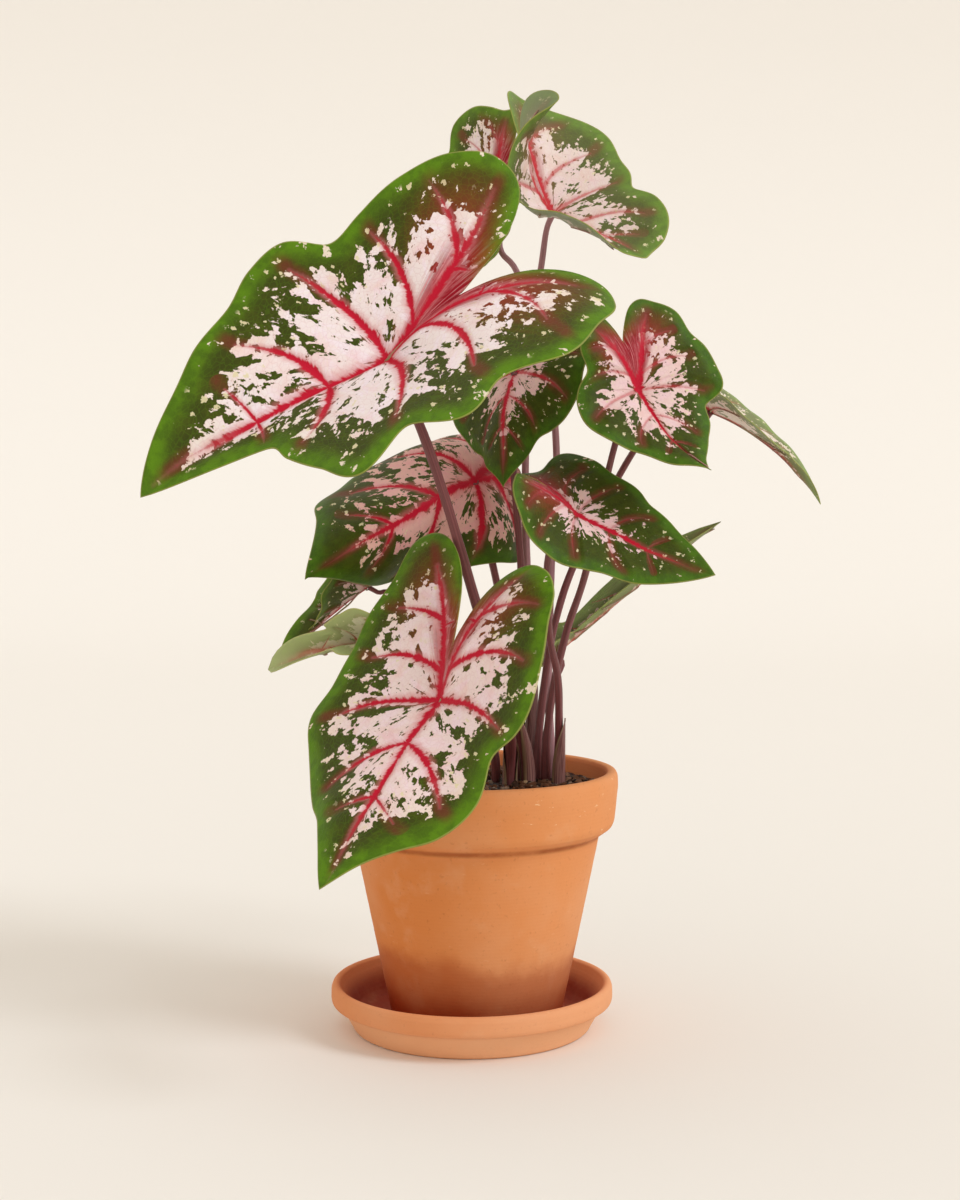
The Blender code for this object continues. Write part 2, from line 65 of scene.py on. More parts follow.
# each leaf in mm and degrees: where its stalk meets it, the length its curl is given over, heading, rise and
# roll, fold of either half, reaches of both sides from tip to notch, lift and curl at each rib, and its stalk
LEAVES = {
    1: dict(
        at=(-42, -75, 361), length=167, turn=(196, -22, -30), fold=(19, 25),
        left=(141, 106, 82, 85, 92, 105, 86, 106, 98, 117, 121, 126, 117, 95, 64, 45),
        right=(141, 125, 108, 97, 86, 86, 84, 70, 80, 98, 115, 121, 112, 90, 63, 45),
        lift=(32, 0, -3, -2, 3, 10, 26), curl=(-87, -21, -41, -16, 2, 17, -24),
        foot=(31, 4), radius=(3.0, 2.4),
        stalk=((15, -36, 195), (2, -50, 239), (-13, -63, 291), (-27, -71, 331))),
    2: dict(
        at=(-15, -118, 194), length=127, turn=(228, -56, 7), fold=(6, 7),
        left=(112, 98, 88, 83, 74, 60, 65, 68, 69, 74, 82, 84, 78, 62, 40, 28),
        right=(112, 96, 84, 80, 76, 76, 77, 70, 71, 79, 88, 104, 97, 73, 45, 28),
        lift=(25, 2, 1, 13, 11, 4, 3), curl=(-71, -19, -29, -6, -19, 0, 1),
        foot=(21, -1), radius=(3.0, 2.2), stalk=((20, -36, 174), (7, -84, 190))),
    3: dict(
        at=(2, 5, 301), length=128, turn=(216, -22, -58), fold=(-40, 1),
        left=(114, 100, 88, 79, 66, 57, 49, 50, 59, 72, 88, 86, 86, 76, 56, 41),
        right=(114, 101, 92, 91, 81, 79, 80, 71, 82, 90, 96, 101, 97, 80, 57, 41),
        lift=(-3, 16, -1, 8, -13, -7, -5), curl=(-92, -65, -74, -46, -75, -142, -104),
        foot=(28, 20), radius=(2.6, 1.9), stalk=((25, 24, 178), (16, 26, 234), (7, 24, 273))),
    4: dict(
        at=(55, -50, 283), length=75, turn=(0, -37, 39), fold=(1, 1),
        left=(78, 68, 58, 51, 44, 43, 41, 40, 45, 51, 43, 43, 43, 38, 29, 22),
        right=(78, 68, 58, 49, 41, 38, 39, 39, 42, 45, 48, 46, 42, 36, 28, 22),
        lift=(1, 1, 10, 9, 8, 0, 22), curl=(-78, 14, 12, 16, -20, -10, -23),
        foot=(48, 6), radius=(2.4, 1.7),
        stalk=((47, -11, 190), (42, -19, 217), (40, -30, 253), (44, -40, 271))),
    5: dict(
        at=(88, -31, 348), length=79, turn=(-25, -69, 36), fold=(16, 11),
        left=(68, 59, 52, 46, 42, 37, 46, 46, 46, 46, 52, 53, 52, 46, 36, 27),
        right=(68, 60, 54, 47, 44, 44, 43, 40, 36, 33, 42, 44, 48, 45, 36, 27),
        lift=(7, 2, 7, 14, 10, -4, 10), curl=(-38, -7, 0, 42, -3, -28, -25),
        foot=(41, 12), radius=(2.4, 1.7),
        stalk=((44, 8, 180), (52, 2, 218), (62, -6, 251), (73, -15, 304), (79, -20, 328))),
    6: dict(
        at=(23, -5, 359), length=78, turn=(-113, -44, 4), fold=(-10, -9),
        left=(67, 59, 51, 42, 40, 40, 40, 40, 43, 45, 47, 44, 46, 43, 32, 24),
        right=(67, 60, 55, 50, 49, 48, 48, 48, 49, 52, 57, 58, 56, 47, 34, 24),
        lift=(13, 8, -13, -4, -15, -4, 12), curl=(-12, 1, -50, -56, -52, -18, -17),
        foot=(23, 13), radius=(2.2, 1.7), stalk=((27, 12, 179), (27, 8, 254), (23, 4, 307))),
    7: dict(
        at=(44, 2, 445), length=104, turn=(-24, -41, 31), fold=(10, -7),
        left=(64, 63, 65, 64, 57, 46, 49, 52, 60, 66, 69, 74, 76, 67, 50, 37),
        right=(64, 61, 61, 58, 54, 51, 50, 49, 52, 64, 75, 83, 82, 70, 51, 37),
        lift=(15, 11, 18, 22, 31, 25, 33), curl=(-16, 9, 19, -17, 48, 54, 109),
        foot=(32, 28), radius=(2.4, 1.6),
        stalk=((34, 28, 177), (31, 26, 254), (30, 26, 307), (32, 24, 379), (38, 12, 417))),
    8: dict(
        at=(11, 60, 464), length=77, turn=(110, -37, -109), fold=(22, 21),
        left=(84, 71, 58, 49, 42, 40, 39, 38, 41, 45, 49, 48, 48, 42, 31, 23),
        right=(84, 72, 61, 53, 48, 43, 39, 38, 48, 52, 50, 48, 49, 43, 31, 23),
        lift=(0, 3, 6, 9, 16, -10, -13), curl=(-12, -11, -8, 5, 18, -14, -46),
        foot=(45, 21), radius=(2.4, 1.6),
        stalk=((43, 26, 189), (45, 32, 257), (48, 40, 314), (42, 48, 375), (26, 53, 419), (16, 56, 434))),
    9: dict(
        at=(137, 54, 341), length=100, turn=(-2, -33, 6), fold=(31, 25),
        left=(84, 71, 59, 53, 49, 48, 47, 48, 51, 55, 59, 60, 57, 47, 32, 23),
        right=(84, 70, 59, 57, 58, 51, 50, 49, 50, 54, 59, 60, 57, 47, 32, 23),
        lift=(3, -9, -9, 10, -10, -8, -3), curl=(-13, -19, -7, -41, -12, -18, -28),
        foot=(36, 17), radius=(2.4, 1.6),
        stalk=((41, 19, 190), (47, 22, 223), (58, 28, 255), (83, 40, 303), (101, 47, 329), (119, 51, 337))),
    10: dict(
        at=(-58, 17, 242), length=60, turn=(192, -61, 6), fold=(49, 49),
        left=(62, 49, 39, 35, 33, 34, 30, 28, 28, 28, 26, 21, 22, 20, 14, 10),
        right=(62, 54, 45, 37, 31, 30, 28, 29, 29, 29, 28, 24, 24, 21, 15, 10),
        lift=(-7, -3, 0, 21, 6, -2, -4), curl=(-35, -7, -4, 4, 41, -8, -29),
        foot=(14, 17), radius=(1.9, 1.2), stalk=((5, 18, 179), (-19, 18, 218), (-43, 17, 238))),
    11: dict(
        at=(-40, -33, 216), length=91, turn=(159, -6, -61), fold=(53, 85),
        left=(92, 64, 40, 38, 37, 38, 32, 32, 32, 32, 32, 28, 28, 25, 18, 13),
        right=(92, 65, 41, 39, 37, 37, 36, 28, 28, 31, 34, 35, 33, 27, 18, 13),
        lift=(-8, -5, 3, 0, 0, 4, 19), curl=(-32, -7, 11, -29, -3, -9, 12),
        foot=(13, 8), radius=(1.9, 1.3), stalk=((6, -2, 173), (-14, -20, 199))),
    12: dict(
        at=(48, 45, 202), length=124, turn=(10, 40, 25), fold=(55, 55),
        left=(124, 78, 34, 21, 18, 17, 16, 16, 13, 13, 13, 13, 12, 12, 11, 10),
        right=(124, 78, 34, 21, 18, 17, 16, 16, 13, 13, 13, 13, 12, 12, 11, 10),
        lift=(0, 0, 0, 0, 0, 0, 0), curl=(0, 0, 0, -6, 0, 0, 0),
        foot=(39, 27), radius=(2.2, 1.8), stalk=((44, 34, 168), (47, 43, 186))),
}

# how each leaf is coloured: share of the blade that the pale blotches reach, their paleness from pink (0) to
# white (1), strength of the red at the notch, how washed out the leaf is (partly its own paleness, partly
# painted light that brightens leaves turned away from the key light), and how many green islands it has
LOOKS = {
    1: (0.95, 0.95, 1.0, 0.0, 0.005), 2: (0.98, 0.75, 0.75, 0.0, 0.005), 3: (0.98, 0.10, 0.8, 0.0, 0.060),
    4: (0.60, 0.50, 1.0, 0.0, 0.055), 5: (0.85, 0.55, 1.0, 0.0, 0.03), 6: (0.66, 0.40, 1.0, 0.0, 0.04),
    7: (0.94, 0.75, 0.55, 0.12, 0.03), 8: (0.95, 0.85, 1.0, 0.04, 0.0), 9: (0.95, 0.80, 0.1, 0.28, 0.02),
    10: (0.75, 0.60, 0.9, 0.05, 0.02), 11: (0.95, 0.95, 0.1, 0.62, 0.0), 12: (0.60, 0.55, 0.2, 0.34, 0.03),
}

# veins of one half of a leaf: start angle and share of the reach, end angle and share, bow, half widths in mm
VEINS = (
    (0, 0.0, 0, 0.96, 0.0, 2.80, 0.80),
    (0, 0.0, 153, 0.88, -0.05, 3.40, 1.20),
    (0, 0.0, 72, 0.82, -0.08, 2.40, 0.80),
    (0, 0.24, 32, 0.84, -0.12, 2.20, 0.75),
    (0, 0.52, 15, 0.82, -0.04, 1.10, 0.45),
    (153, 0.17, 108, 0.80, -0.11, 2.20, 0.75),
    (153, 0.50, 132, 0.84, -0.09, 1.90, 0.65),
    (153, 0.46, 169, 0.76, 0.06, 1.30, 0.50),
)
# mean reach in mm of a leaf whose veins have these widths, and the reach below which side veins slim down
VEIN_UNIT, SLIM_UNIT = 100, 75

# leaves that are still partly rolled and as green below as above
YOUNG = (9, 10, 11, 12)
# leaves at the top, whose stalks get a lighter, pinker copy of the stalk colour as painted light
PAINTED_LIT_STALKS = (7, 8)
# leaves lower down in the shade, whose margin green is darkened as painted shade
PAINTED_SHADE_LEAVES = (3, 4, 5, 6)
# leaves whose side veins stand out less than the full crimson of the others
FAINT_LATERALS = {4: 0.30, 5: 0.45, 6: 0.70, 7: 0.60, 8: 0.60}

# sheaths at the stalks' bases: leaf, height in mm, how far it stands off the stalk, the side it opens to
SHEATHS = ((1, 52, 1.16, 200), (7, 60, 1.16, 120), (4, 38, 1.3, 165), (3, 44, 1.16, 250), (2, 30, 1.14, 280))

# turned outlines as radius and height in mm
SAUCER = ((57, 5), (61.5, 6.2), (64.5, 9), (71.6, 22), (72.8, 24.9), (74.6, 25.8), (76.4, 25), (77.4, 22.6),
          (77.5, 17.5), (77.0, 15.2), (75.4, 14.2), (72.6, 13.2), (71.0, 11.2), (66.6, 3.6), (65.2, 0.9),
          (63.6, 0))
POT = ((10, 12.3), (36, 12.3), (39.6, 13.5), (41.2, 16.8), (61, 107), (69.4, 114.5), (71.2, 140.6),
       (72, 142.4), (74.2, 143), (76.4, 142.3), (77.5, 140), (77.6, 134), (75.7, 115.6), (74.4, 112.6),
       (67.4, 107.5), (55.2, 48), (47, 8.3), (45.6, 5.7), (44.4, 5.3), (10, 5.3))


def tint(red, green, blue):
    """Linear colour of a display colour from 0 to 255."""
    shares = [c / 255 for c in (red, green, blue)]
    return tuple(s / 12.92 if s <= 0.04045 else ((s + 0.055) / 1.055) ** 2.4 for s in shares)


# shape of a leaf

def unit_long(vectors):
    """Vectors brought to length 1, where they have one."""
    length = np.linalg.norm(vectors, axis=-1, keepdims=True)
    return vectors / np.where(length > 1e-12, length, 1)


def cubic(u, first, last, rise, fall):
    """Smooth way from first to last, which it leaves by rise and meets by fall, at u from 0 to 1."""
    return ((2 * u**3 - 3 * u**2 + 1) * first + (u**3 - 2 * u**2 + u) * rise
            + (-2 * u**3 + 3 * u**2) * last + (u**3 - u**2) * fall)


def hermite(angle, knots, values, slopes):
    """Cubic curve through values at knots."""
    i = np.clip(np.searchsorted(knots, angle, side="right") - 1, 0, len(knots) - 2)
    width = np.diff(knots)[i]
    u = (angle - knots[i]) / width
    return cubic(u, values[i], values[i + 1], width * slopes[i], width * slopes[i + 1])


def around(theta, values):
    """A value given at every rib, smooth all the way round."""
    knots = np.append(RIBS, RIBS[0] + 360)
    values = np.append(np.array(values, float), values[0])
    gaps = np.diff(knots)
    rises = np.diff(values) / gaps
    before = np.roll(gaps, 1)
    slopes = (before * rises + gaps * np.roll(rises, 1)) / (before + gaps)
    slopes = np.append(slopes, slopes[0])
    angle = (np.degrees(theta) - knots[0]) % 360 + knots[0]
    return hermite(angle, knots, values, slopes)


def side_reach(angle, values):
    """Reach of one side, with a corner at the tip and at the notch."""
    values = np.array(values, float)
    gaps = np.diff(RAYS)
    rises = np.diff(values) / gaps
    inner = (gaps[:-1] * rises[1:] + gaps[1:] * rises[:-1]) / (gaps[:-1] + gaps[1:])
    slopes = np.concatenate(([rises[0]], inner, [rises[-1]]))
    return hermite(angle, RAYS, values, slopes)


def leaf_reach(leaf, theta):
    """Distance from the stalk's end to the margin at each angle, in mm."""
    angle = np.degrees(np.abs(theta))
    return np.where(theta < 0, side_reach(angle, leaf["left"]), side_reach(angle, leaf["right"]))


def leaf_axes(leaf):
    """Across, along and normal of a leaf."""
    heading, rise, roll = np.radians(leaf["turn"])
    ahead, aside = math.cos(heading), math.sin(heading)
    along = np.array((ahead * math.cos(rise), aside * math.cos(rise), math.sin(rise)))
    side = np.array((aside, -ahead, 0.0))
    across = side * math.cos(roll) - np.cross(side, along) * math.sin(roll)
    return across, along, np.cross(across, along)


def leaf_points(leaf, theta, share):
    """Points of the blade's middle surface at paired angles and shares of the reach, in mm."""
    across, along, normal = leaf_axes(leaf)
    reach = leaf_reach(leaf, theta)
    lift = np.radians(around(theta, leaf["lift"]))
    bend = np.radians(around(theta, leaf["curl"])) / leaf["length"]
    left, right = np.radians(leaf["fold"])
    sine = np.sin(theta)[..., None]
    on_right = sine >= 0
    sideways = np.where(on_right, math.cos(right) * across + math.sin(right) * normal,
                        math.cos(left) * across - math.sin(left) * normal)
    raised = np.where(on_right, math.cos(right) * normal - math.sin(right) * across,
                      math.cos(left) * normal + math.sin(left) * across)
    weight = np.sqrt(np.abs(sine))
    outward = sine * sideways + np.cos(theta)[..., None] * along
    raised = raised * weight + normal * (1 - weight)
    raised = unit_long(raised - outward * (raised * outward).sum(-1, keepdims=True))
    run = reach * share
    straight = np.abs(bend * run) < 1e-4
    safe = np.where(straight, 1.0, bend)
    out = np.where(straight, run * np.cos(lift), (np.sin(lift + bend * run) - np.sin(lift)) / safe)
    rise = np.where(straight, run * np.sin(lift), (np.cos(lift) - np.cos(lift + bend * run)) / safe)
    return np.array(leaf["at"], float) + out[..., None] * outward + rise[..., None] * raised


def leaf_scale(leaf):
    """Mean reach of a leaf in mm, the unit of its flat coordinates."""
    return float(np.mean(leaf["left"] + leaf["right"]))


def stray(seed, x, y):
    """Small sway that keeps a leaf's veins from being straight, nothing at the stalk's end."""
    hold = np.hypot(x, y)
    hold = hold / (hold + 0.25)
    dx = 0.030 * np.sin(3.1 * y + 1.7 * seed) + 0.012 * np.sin(8.3 * y + 4.1 * x + seed)
    dy = 0.026 * np.sin(3.7 * x + 2.3 * seed) + 0.010 * np.sin(7.1 * x - 5.2 * y + 2 * seed)
    return hold * dx, hold * dy


def vein_lines(leaf):
    """Start, direction, length, bow and half widths of every vein of one half, in the leaf's unit."""
    unit = leaf_scale(leaf)
    finer = math.sqrt(VEIN_UNIT / unit) / VEIN_UNIT
    slimmer = min(1.0, unit / SLIM_UNIT) ** 1.3

    def spot(angle, share):
        theta = math.radians(angle)
        both = leaf_reach(leaf, np.array((theta, -theta))).mean() / unit * share
        return np.array((math.sin(theta) * both, math.cos(theta) * both))

    lines = []
    for start_angle, start_share, end_angle, end_share, bow, thick, thin in VEINS:
        start, end = spot(start_angle, start_share), spot(end_angle, end_share)
        if start_angle and start_share:
            start = start + bow_of(VEINS[1], spot, start_share)
        reach = float(np.linalg.norm(end - start))
        if start_share or end_angle == VEINS[2][2]:
            thick, thin = thick * slimmer, thin * slimmer
        lines.append((start, (end - start) / reach, reach, bow * reach, thick * finer, thin * finer))
    return lines


def bow_of(vein, spot, share):
    """How far a bowed vein lies off its straight line at a share of its length."""
    end = spot(vein[2], vein[3])
    length = float(np.linalg.norm(end))
    ahead = end / length
    part = share / vein[3]
    return np.array((-ahead[1], ahead[0])) * vein[4] * length * 4 * part * (1 - part)


def vein_nearness(lines, x, y):
    """Distance to the nearest vein in the leaf's unit, and that distance over the vein's half width."""
    x = np.abs(x)
    best = np.full(x.shape, 1e9)
    apart = np.full(x.shape, 1e9)
    for start, ahead, reach, bow, thick, thin in lines:
        run = (x - start[0]) * ahead[0] + (y - start[1]) * ahead[1]
        off = -(x - start[0]) * ahead[1] + (y - start[1]) * ahead[0]
        part = np.clip(run / reach, 0, 1)
        off = off - bow * 4 * part * (1 - part)
        far = np.hypot(off, run - part * reach)
        near = far / (thick + (thin - thick) * part)
        apart = np.where(near < best, far, apart)
        best = np.minimum(best, near)
    return apart, best


def margin_distance(outline, points):
    """Distance in mm from flat points to the leaf's outline."""
    batches = np.array_split(points, 1 + len(points) // 2000)
    return np.concatenate([np.sqrt(((part[:, None] - outline) ** 2).sum(-1)).min(1) for part in batches])


# meshes

def settle(piece, node=None):
    """Ends a piece: smooth, on the object's only body and the node it stands for."""
    piece.data.polygons.foreach_set("use_smooth", [True] * len(piece.data.polygons))
    piece.data.update()
    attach(piece, "root")
    if node:
        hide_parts(node)
    return piece


def new_sheet(name, sheet):
    """A sheet of faces through points in mm, given as rows of columns."""
    rows, columns, _ = sheet.shape
    bpy.ops.object.select_all(action="DESELECT")
    bpy.ops.mesh.primitive_grid_add(x_subdivisions=columns - 1, y_subdivisions=rows - 1, size=2)
    piece = bpy.context.object
    piece.name = piece.data.name = name
    piece.data.vertices.foreach_set("co", (sheet * MM).reshape(-1))
    piece.data.update()
    return piece


def weld(piece, distance=0.004, loose=()):
    """Drops the loose faces by number, merges what coincides and turns every face outward."""
    mesh = bmesh.new()
    mesh.from_mesh(piece.data)
    mesh.faces.ensure_lookup_table()
    bmesh.ops.delete(mesh, geom=[mesh.faces[index] for index in loose], context="FACES")
    bmesh.ops.remove_doubles(mesh, verts=mesh.verts, dist=distance * MM)
    if not loose:
        bmesh.ops.dissolve_degenerate(mesh, edges=mesh.edges, dist=1e-7)
    bmesh.ops.recalc_face_normals(mesh, faces=mesh.faces)
    if not loose and mesh.calc_volume(signed=True) < 0:
        bmesh.ops.reverse_faces(mesh, faces=mesh.faces)
    mesh.to_mesh(piece.data)
    mesh.free()
    piece.data.update()


def keep(piece, name, values):
    """Stores a value or a vector at every vertex."""
    values = np.asarray(values, float)
    kind = "FLOAT" if values.ndim == 1 else "FLOAT_VECTOR"
    layer = piece.data.attributes.new(name, kind, "POINT")
    layer.data.foreach_set("value" if values.ndim == 1 else "vector", values.reshape(-1))


def keep_grain(piece, across, aside, along):
    """Stores two values that go round a grid's columns and one that goes along its rows."""
    grain = np.broadcast_arrays(across[None], aside[None], along[:, None])
    keep(piece, "grain", np.stack(grain, -1).reshape(-1, 3))


def grid_normals(points):
    """Normals of a surface given as columns round it by rows outward, closed round the columns."""
    turn = np.empty_like(points)
    turn[1:-1] = points[2:] - points[:-2]
    turn[0] = turn[-1] = points[1] - points[-2]
    out = np.gradient(points, axis=1)
    return unit_long(np.cross(turn, out))


def make_blade(number, settings):
    """One leaf blade: a closed shell whose two faces follow the leaf's surface, with sunken ribs."""
    leaf = LEAVES[number]
    unit = leaf_scale(leaf)
    columns = 1 + 2 * int(settings.fineness * (60 + unit))
    rings = int(settings.fineness * (20 + unit * 0.42))
    theta = np.linspace(-math.pi, math.pi, columns)[:, None]
    share = (np.linspace(0, 1, rings) ** 0.92)[None]
    theta_all, share_all = np.broadcast_arrays(theta, share)
    points = leaf_points(leaf, theta_all, share_all)
    normals = grid_normals(points)
    normals[:, 0] = leaf_axes(leaf)[2]
    if (normals[:, 1:3].mean((0, 1)) * leaf_axes(leaf)[2]).sum() < 0:
        normals[:, 1:] *= -1
    reach = leaf_reach(leaf, theta_all) / unit
    x = np.sin(theta_all) * reach * share_all
    y = np.cos(theta_all) * reach * share_all
    dx, dy = stray(number, x, y)
    outline = np.stack((x[:, -1], y[:, -1]), -1) * unit
    edge = margin_distance(outline, np.stack((x, y), -1).reshape(-1, 2) * unit).reshape(x.shape)
    apart, near = vein_nearness(vein_lines(leaf), x + dx, y + dy)
    inside = np.clip(edge / 7, 0, 1)
    groove = np.exp(-(near / 1.3) ** 2)
    puff = 1 - np.exp(-(apart * unit / 7) ** 2)
    ripple = np.sin(9 * theta_all + number) * np.sin(4 * theta_all + 2 * number) * share_all ** 6
    height = (settings.puff * puff * inside - settings.groove * groove * inside
              + settings.ripple * ripple)
    half = settings.thickness * (0.28 + 0.22 * np.clip(edge / 12, 0, 1))
    middle = points + normals * height[..., None]
    top = middle + normals * half[..., None]
    bottom = middle - normals * half[..., None]
    sheet = np.concatenate((top, bottom[:, ::-1]), axis=1).swapaxes(0, 1)
    piece = new_sheet("leaf_%02d_blade_fine" % number, sheet)
    for name, values in (("flat", np.stack((x + dx, y + dy, share_all), -1)), ("rim", edge)):
        both = np.concatenate((values, values[:, ::-1]), axis=1).swapaxes(0, 1)
        keep(piece, name, both.reshape(-1, *values.shape[2:]))
    rows = np.repeat(np.arange(2 * rings - 1), columns - 1)
    piece.data.polygons.foreach_set("material_index", (rows >= rings).astype(int))
    for under in (False, number not in YOUNG):
        name = "leaf_%02d_%s" % (number, "under" if under else "upper")
        piece.data.materials.append(once(draw_blade, name, number, under))
    weld(piece)
    return settle(piece, "leaf_%02d_blade" % number)


def tube_rows(path, radii, sides):
    """Rings of points round a path, without twist."""
    path = np.asarray(path, float)
    ahead = unit_long(np.gradient(path, axis=0))
    right = np.cross(ahead[0], (0.0, 1.0, 0.1))
    rows = []
    angle = np.linspace(0, TAU, sides + 1)
    for spot, way, radius in zip(path, ahead, radii):
        right = unit_long(right - way * right.dot(way))
        up = np.cross(way, right)
        rows.append(spot + radius * (np.cos(angle)[:, None] * right + np.sin(angle)[:, None] * up))
    return np.array(rows)


def close_tube(rows, path):
    """A tube's rings with a point at either end."""
    first, last = (np.broadcast_to(spot, rows[:1].shape) for spot in (path[0], path[-1]))
    return np.concatenate((first, rows, last))


def vein_paths(number):
    """Curves of a leaf's veins on the blade's middle surface, with normals and radii, in mm."""
    leaf = LEAVES[number]
    unit = leaf_scale(leaf)
    found = []
    for start, ahead, reach, bow, thick, thin in vein_lines(leaf):
        part = np.linspace(0, 1, 26)
        off = bow * 4 * part * (1 - part)
        goal = start + ahead * (part * reach)[:, None] + np.array((-ahead[1], ahead[0])) * off[:, None]
        for side in (1, -1):
            if side < 0 and abs(goal[:, 0]).max() < 1e-6:
                continue
            x, y = goal[:, 0] * side, goal[:, 1]
            gx, gy = x.copy(), y.copy()
            for _ in range(6):
                dx, dy = stray(number, gx, gy)
                gx, gy = x - dx, y - dy
            theta = np.arctan2(gx, gy)
            share = np.hypot(gx, gy) * unit / leaf_reach(leaf, theta)
            share = np.clip(share, 0.02, 0.96)
            points = leaf_points(leaf, theta, share)
            aside = leaf_points(leaf, theta + 0.01, share) - leaf_points(leaf, theta - 0.01, share)
            beyond = leaf_points(leaf, theta, share * 1.02) - leaf_points(leaf, theta, share * 0.98)
            normals = unit_long(np.cross(aside, beyond))
            normals = normals * np.sign((normals[:3] * leaf_axes(leaf)[2]).sum())
            found.append((points, normals, 0.30 + 0.34 * (thick + (thin - thick) * part) * unit / 2.6))
    return found


def make_ribs(number, settings):
    """The raised ribs under one blade, joined in one piece. They dip away from the blade near its stalk."""
    sides = 8
    tubes = []
    for points, normals, radii in vein_paths(number):
        off = np.linalg.norm(points - np.array(LEAVES[number]["at"]), axis=1, keepdims=True)
        dip = 0.5 * np.exp(-(off / 5) ** 2)
        path = points - normals * (settings.thickness * 0.5 + settings.groove + dip)
        tubes.append(close_tube(tube_rows(path, radii, sides), path))
    piece = new_sheet("leaf_%02d_ribs" % number, np.concatenate(tubes))
    seams = np.cumsum([len(tube) for tube in tubes])[:-1] - 1
    weld(piece, 0.002, [row * sides + column for row in seams for column in range(sides)])
    piece.data.materials.append(rib_material(number))
    return settle(piece)


def stalk_path(leaf):
    """The stalk's smooth path from below the soil's top to the blade, in mm."""
    normal = leaf_axes(leaf)[2]
    top = np.array(leaf["at"], float)
    foot = np.array((*leaf["foot"], 112.0))
    knots = [np.array((*leaf["foot"], 136.0))] + [np.array(p, float) for p in leaf["stalk"]]
    knots += [top - normal * 6.5, top - normal * 0.8]
    slopes = [np.array((0, 0, 1.0)) * np.linalg.norm(knots[1] - knots[0])]
    for before, after in zip(knots[:-2], knots[2:]):
        slopes.append((after - before) / 2)
    slopes[-1] = normal * np.linalg.norm(knots[-2] - knots[-3]) * 0.8
    slopes.append(normal * 6.5)
    path = [foot, foot + (0, 0, 12)]
    for first, second, rise, fall in zip(knots[:-1], knots[1:], slopes[:-1], slopes[1:]):
        count = max(4, int(np.linalg.norm(second - first) / 3.0))
        path += [cubic(u, first, second, rise, fall) for u in np.linspace(0, 1, count, endpoint=False)]
    path.append(knots[-1])
    return np.array(path)


def make_stalk(number, settings):
    """One stalk: a tapering tube, swollen and ridged at its sheathed base."""
    leaf = LEAVES[number]
    path = stalk_path(leaf)
    steps = np.linalg.norm(np.diff(path, axis=0), axis=1)
    run = np.concatenate(([0], np.cumsum(steps)))
    share = run / run[-1]
    low, high = leaf["radius"]
    radii = low + (high - low) * share
    above = path[:, 2] - SOIL_TOP
    radii = radii * (1 + settings.swelling * np.exp(-(np.clip(above, 0, None) / 22) ** 2))
    radii = radii * (1 + 0.03 * np.sin(share * 23 + number) + 0.02 * np.sin(share * 61 + 2 * number))
    flare = np.exp(-(run[-1] - run) / 2.2)
    radii = radii * (1 + 0.25 * flare)
    sides = 20
    rows = tube_rows(path, radii, sides)
    angle = np.linspace(0, TAU, sides + 1)
    ridge = 1 + 0.035 * np.sin(5 * angle + number) + 0.02 * np.sin(9 * angle + 3 * number)
    rows = path[:, None] + (rows - path[:, None]) * ridge[None, :, None]
    piece = new_sheet("leaf_%02d_stalk_fine" % number, close_tube(rows, path))
    length = np.concatenate(([0], run, [run[-1]]))
    keep_grain(piece, np.cos(angle), np.sin(angle), length / 100)
    # the stalks at the top get a lighter copy of the stalk material as painted light
    light = number in PAINTED_LIT_STALKS
    name = "leaf_stalk_light" if light else "leaf_stalk_dark"
    piece.data.materials.append(once(draw_stalk, name, light))
    weld(piece)
    return settle(piece, "leaf_%02d_stalk" % number)


def make_sheath(number, tall, off, opening):
    """A thin curved sheath that wraps a stalk's base and runs out to a point."""
    leaf = LEAVES[number]
    path = stalk_path(leaf)
    path = path[path[:, 2] < SOIL_TOP + tall][1:]
    even = np.linspace(0, len(path) - 1, 30)
    path = np.stack([np.interp(even, range(len(path)), values) for values in path.T], 1)
    share = np.linspace(0, 1, len(path))
    spread = (1 - share ** 2.2) * 2.4 + 0.12
    radius = leaf["radius"][0] * (off + 0.12 * (1 - share))
    turn = np.linspace(-1, 1, 25)
    faces = []
    for thickness in (0.0, 0.45):
        rows = []
        for spot, wide, r in zip(path, spread, radius):
            angle = math.radians(opening) + math.pi + turn * wide
            size = r + thickness * (1 - 0.7 * np.abs(turn) ** 3) + 0.5 * np.abs(turn) ** 4
            rows.append(spot + size[:, None] * np.stack((np.cos(angle), np.sin(angle), 0 * angle), 1))
        faces.append(np.array(rows))
    inner, outer = faces
    sheet = np.concatenate((inner, outer[:, ::-1], inner[:, :1]), axis=1)
    sheet = close_tube(sheet, (sheet[0].mean(0), sheet[-1].mean(0)))
    piece = new_sheet("leaf_%02d_sheath" % number, sheet)
    sweep = np.concatenate((turn, turn[::-1], turn[:1]))
    up = np.concatenate(([0], share, [1]))
    keep_grain(piece, sweep, 0 * sweep, up)
    piece.data.materials.append(once(draw_sheath, "leaf_sheath"))
    weld(piece)
    return settle(piece)


def rounded(outline, closed, size=1.6, most=0.42):
    """An outline with every corner rounded by a short curve."""
    outline = np.array(outline, float)
    count = len(outline)
    made = []
    for i, corner in enumerate(outline):
        if not closed and i in (0, count - 1):
            made.append(corner)
            continue
        before = outline[i - 1] - corner
        after = outline[(i + 1) % count] - corner
        a, b = np.linalg.norm(before), np.linalg.norm(after)
        start = corner + before / a * min(size, most * a)
        end = corner + after / b * min(size, most * b)
        for u in (0, 0.25, 0.5, 0.75, 1):
            made.append((1 - u) ** 2 * start + 2 * u * (1 - u) * corner + u * u * end)
    return np.array(made)


def finer(outline, longest=4.0):
    """An outline with points added so that no run is longer than the given length."""
    made = []
    for first, second in zip(outline[:-1], outline[1:]):
        count = max(1, math.ceil(np.linalg.norm(second - first) / longest))
        made += [first + (second - first) * k / count for k in range(count)]
    made.append(outline[-1])
    return np.array(made)


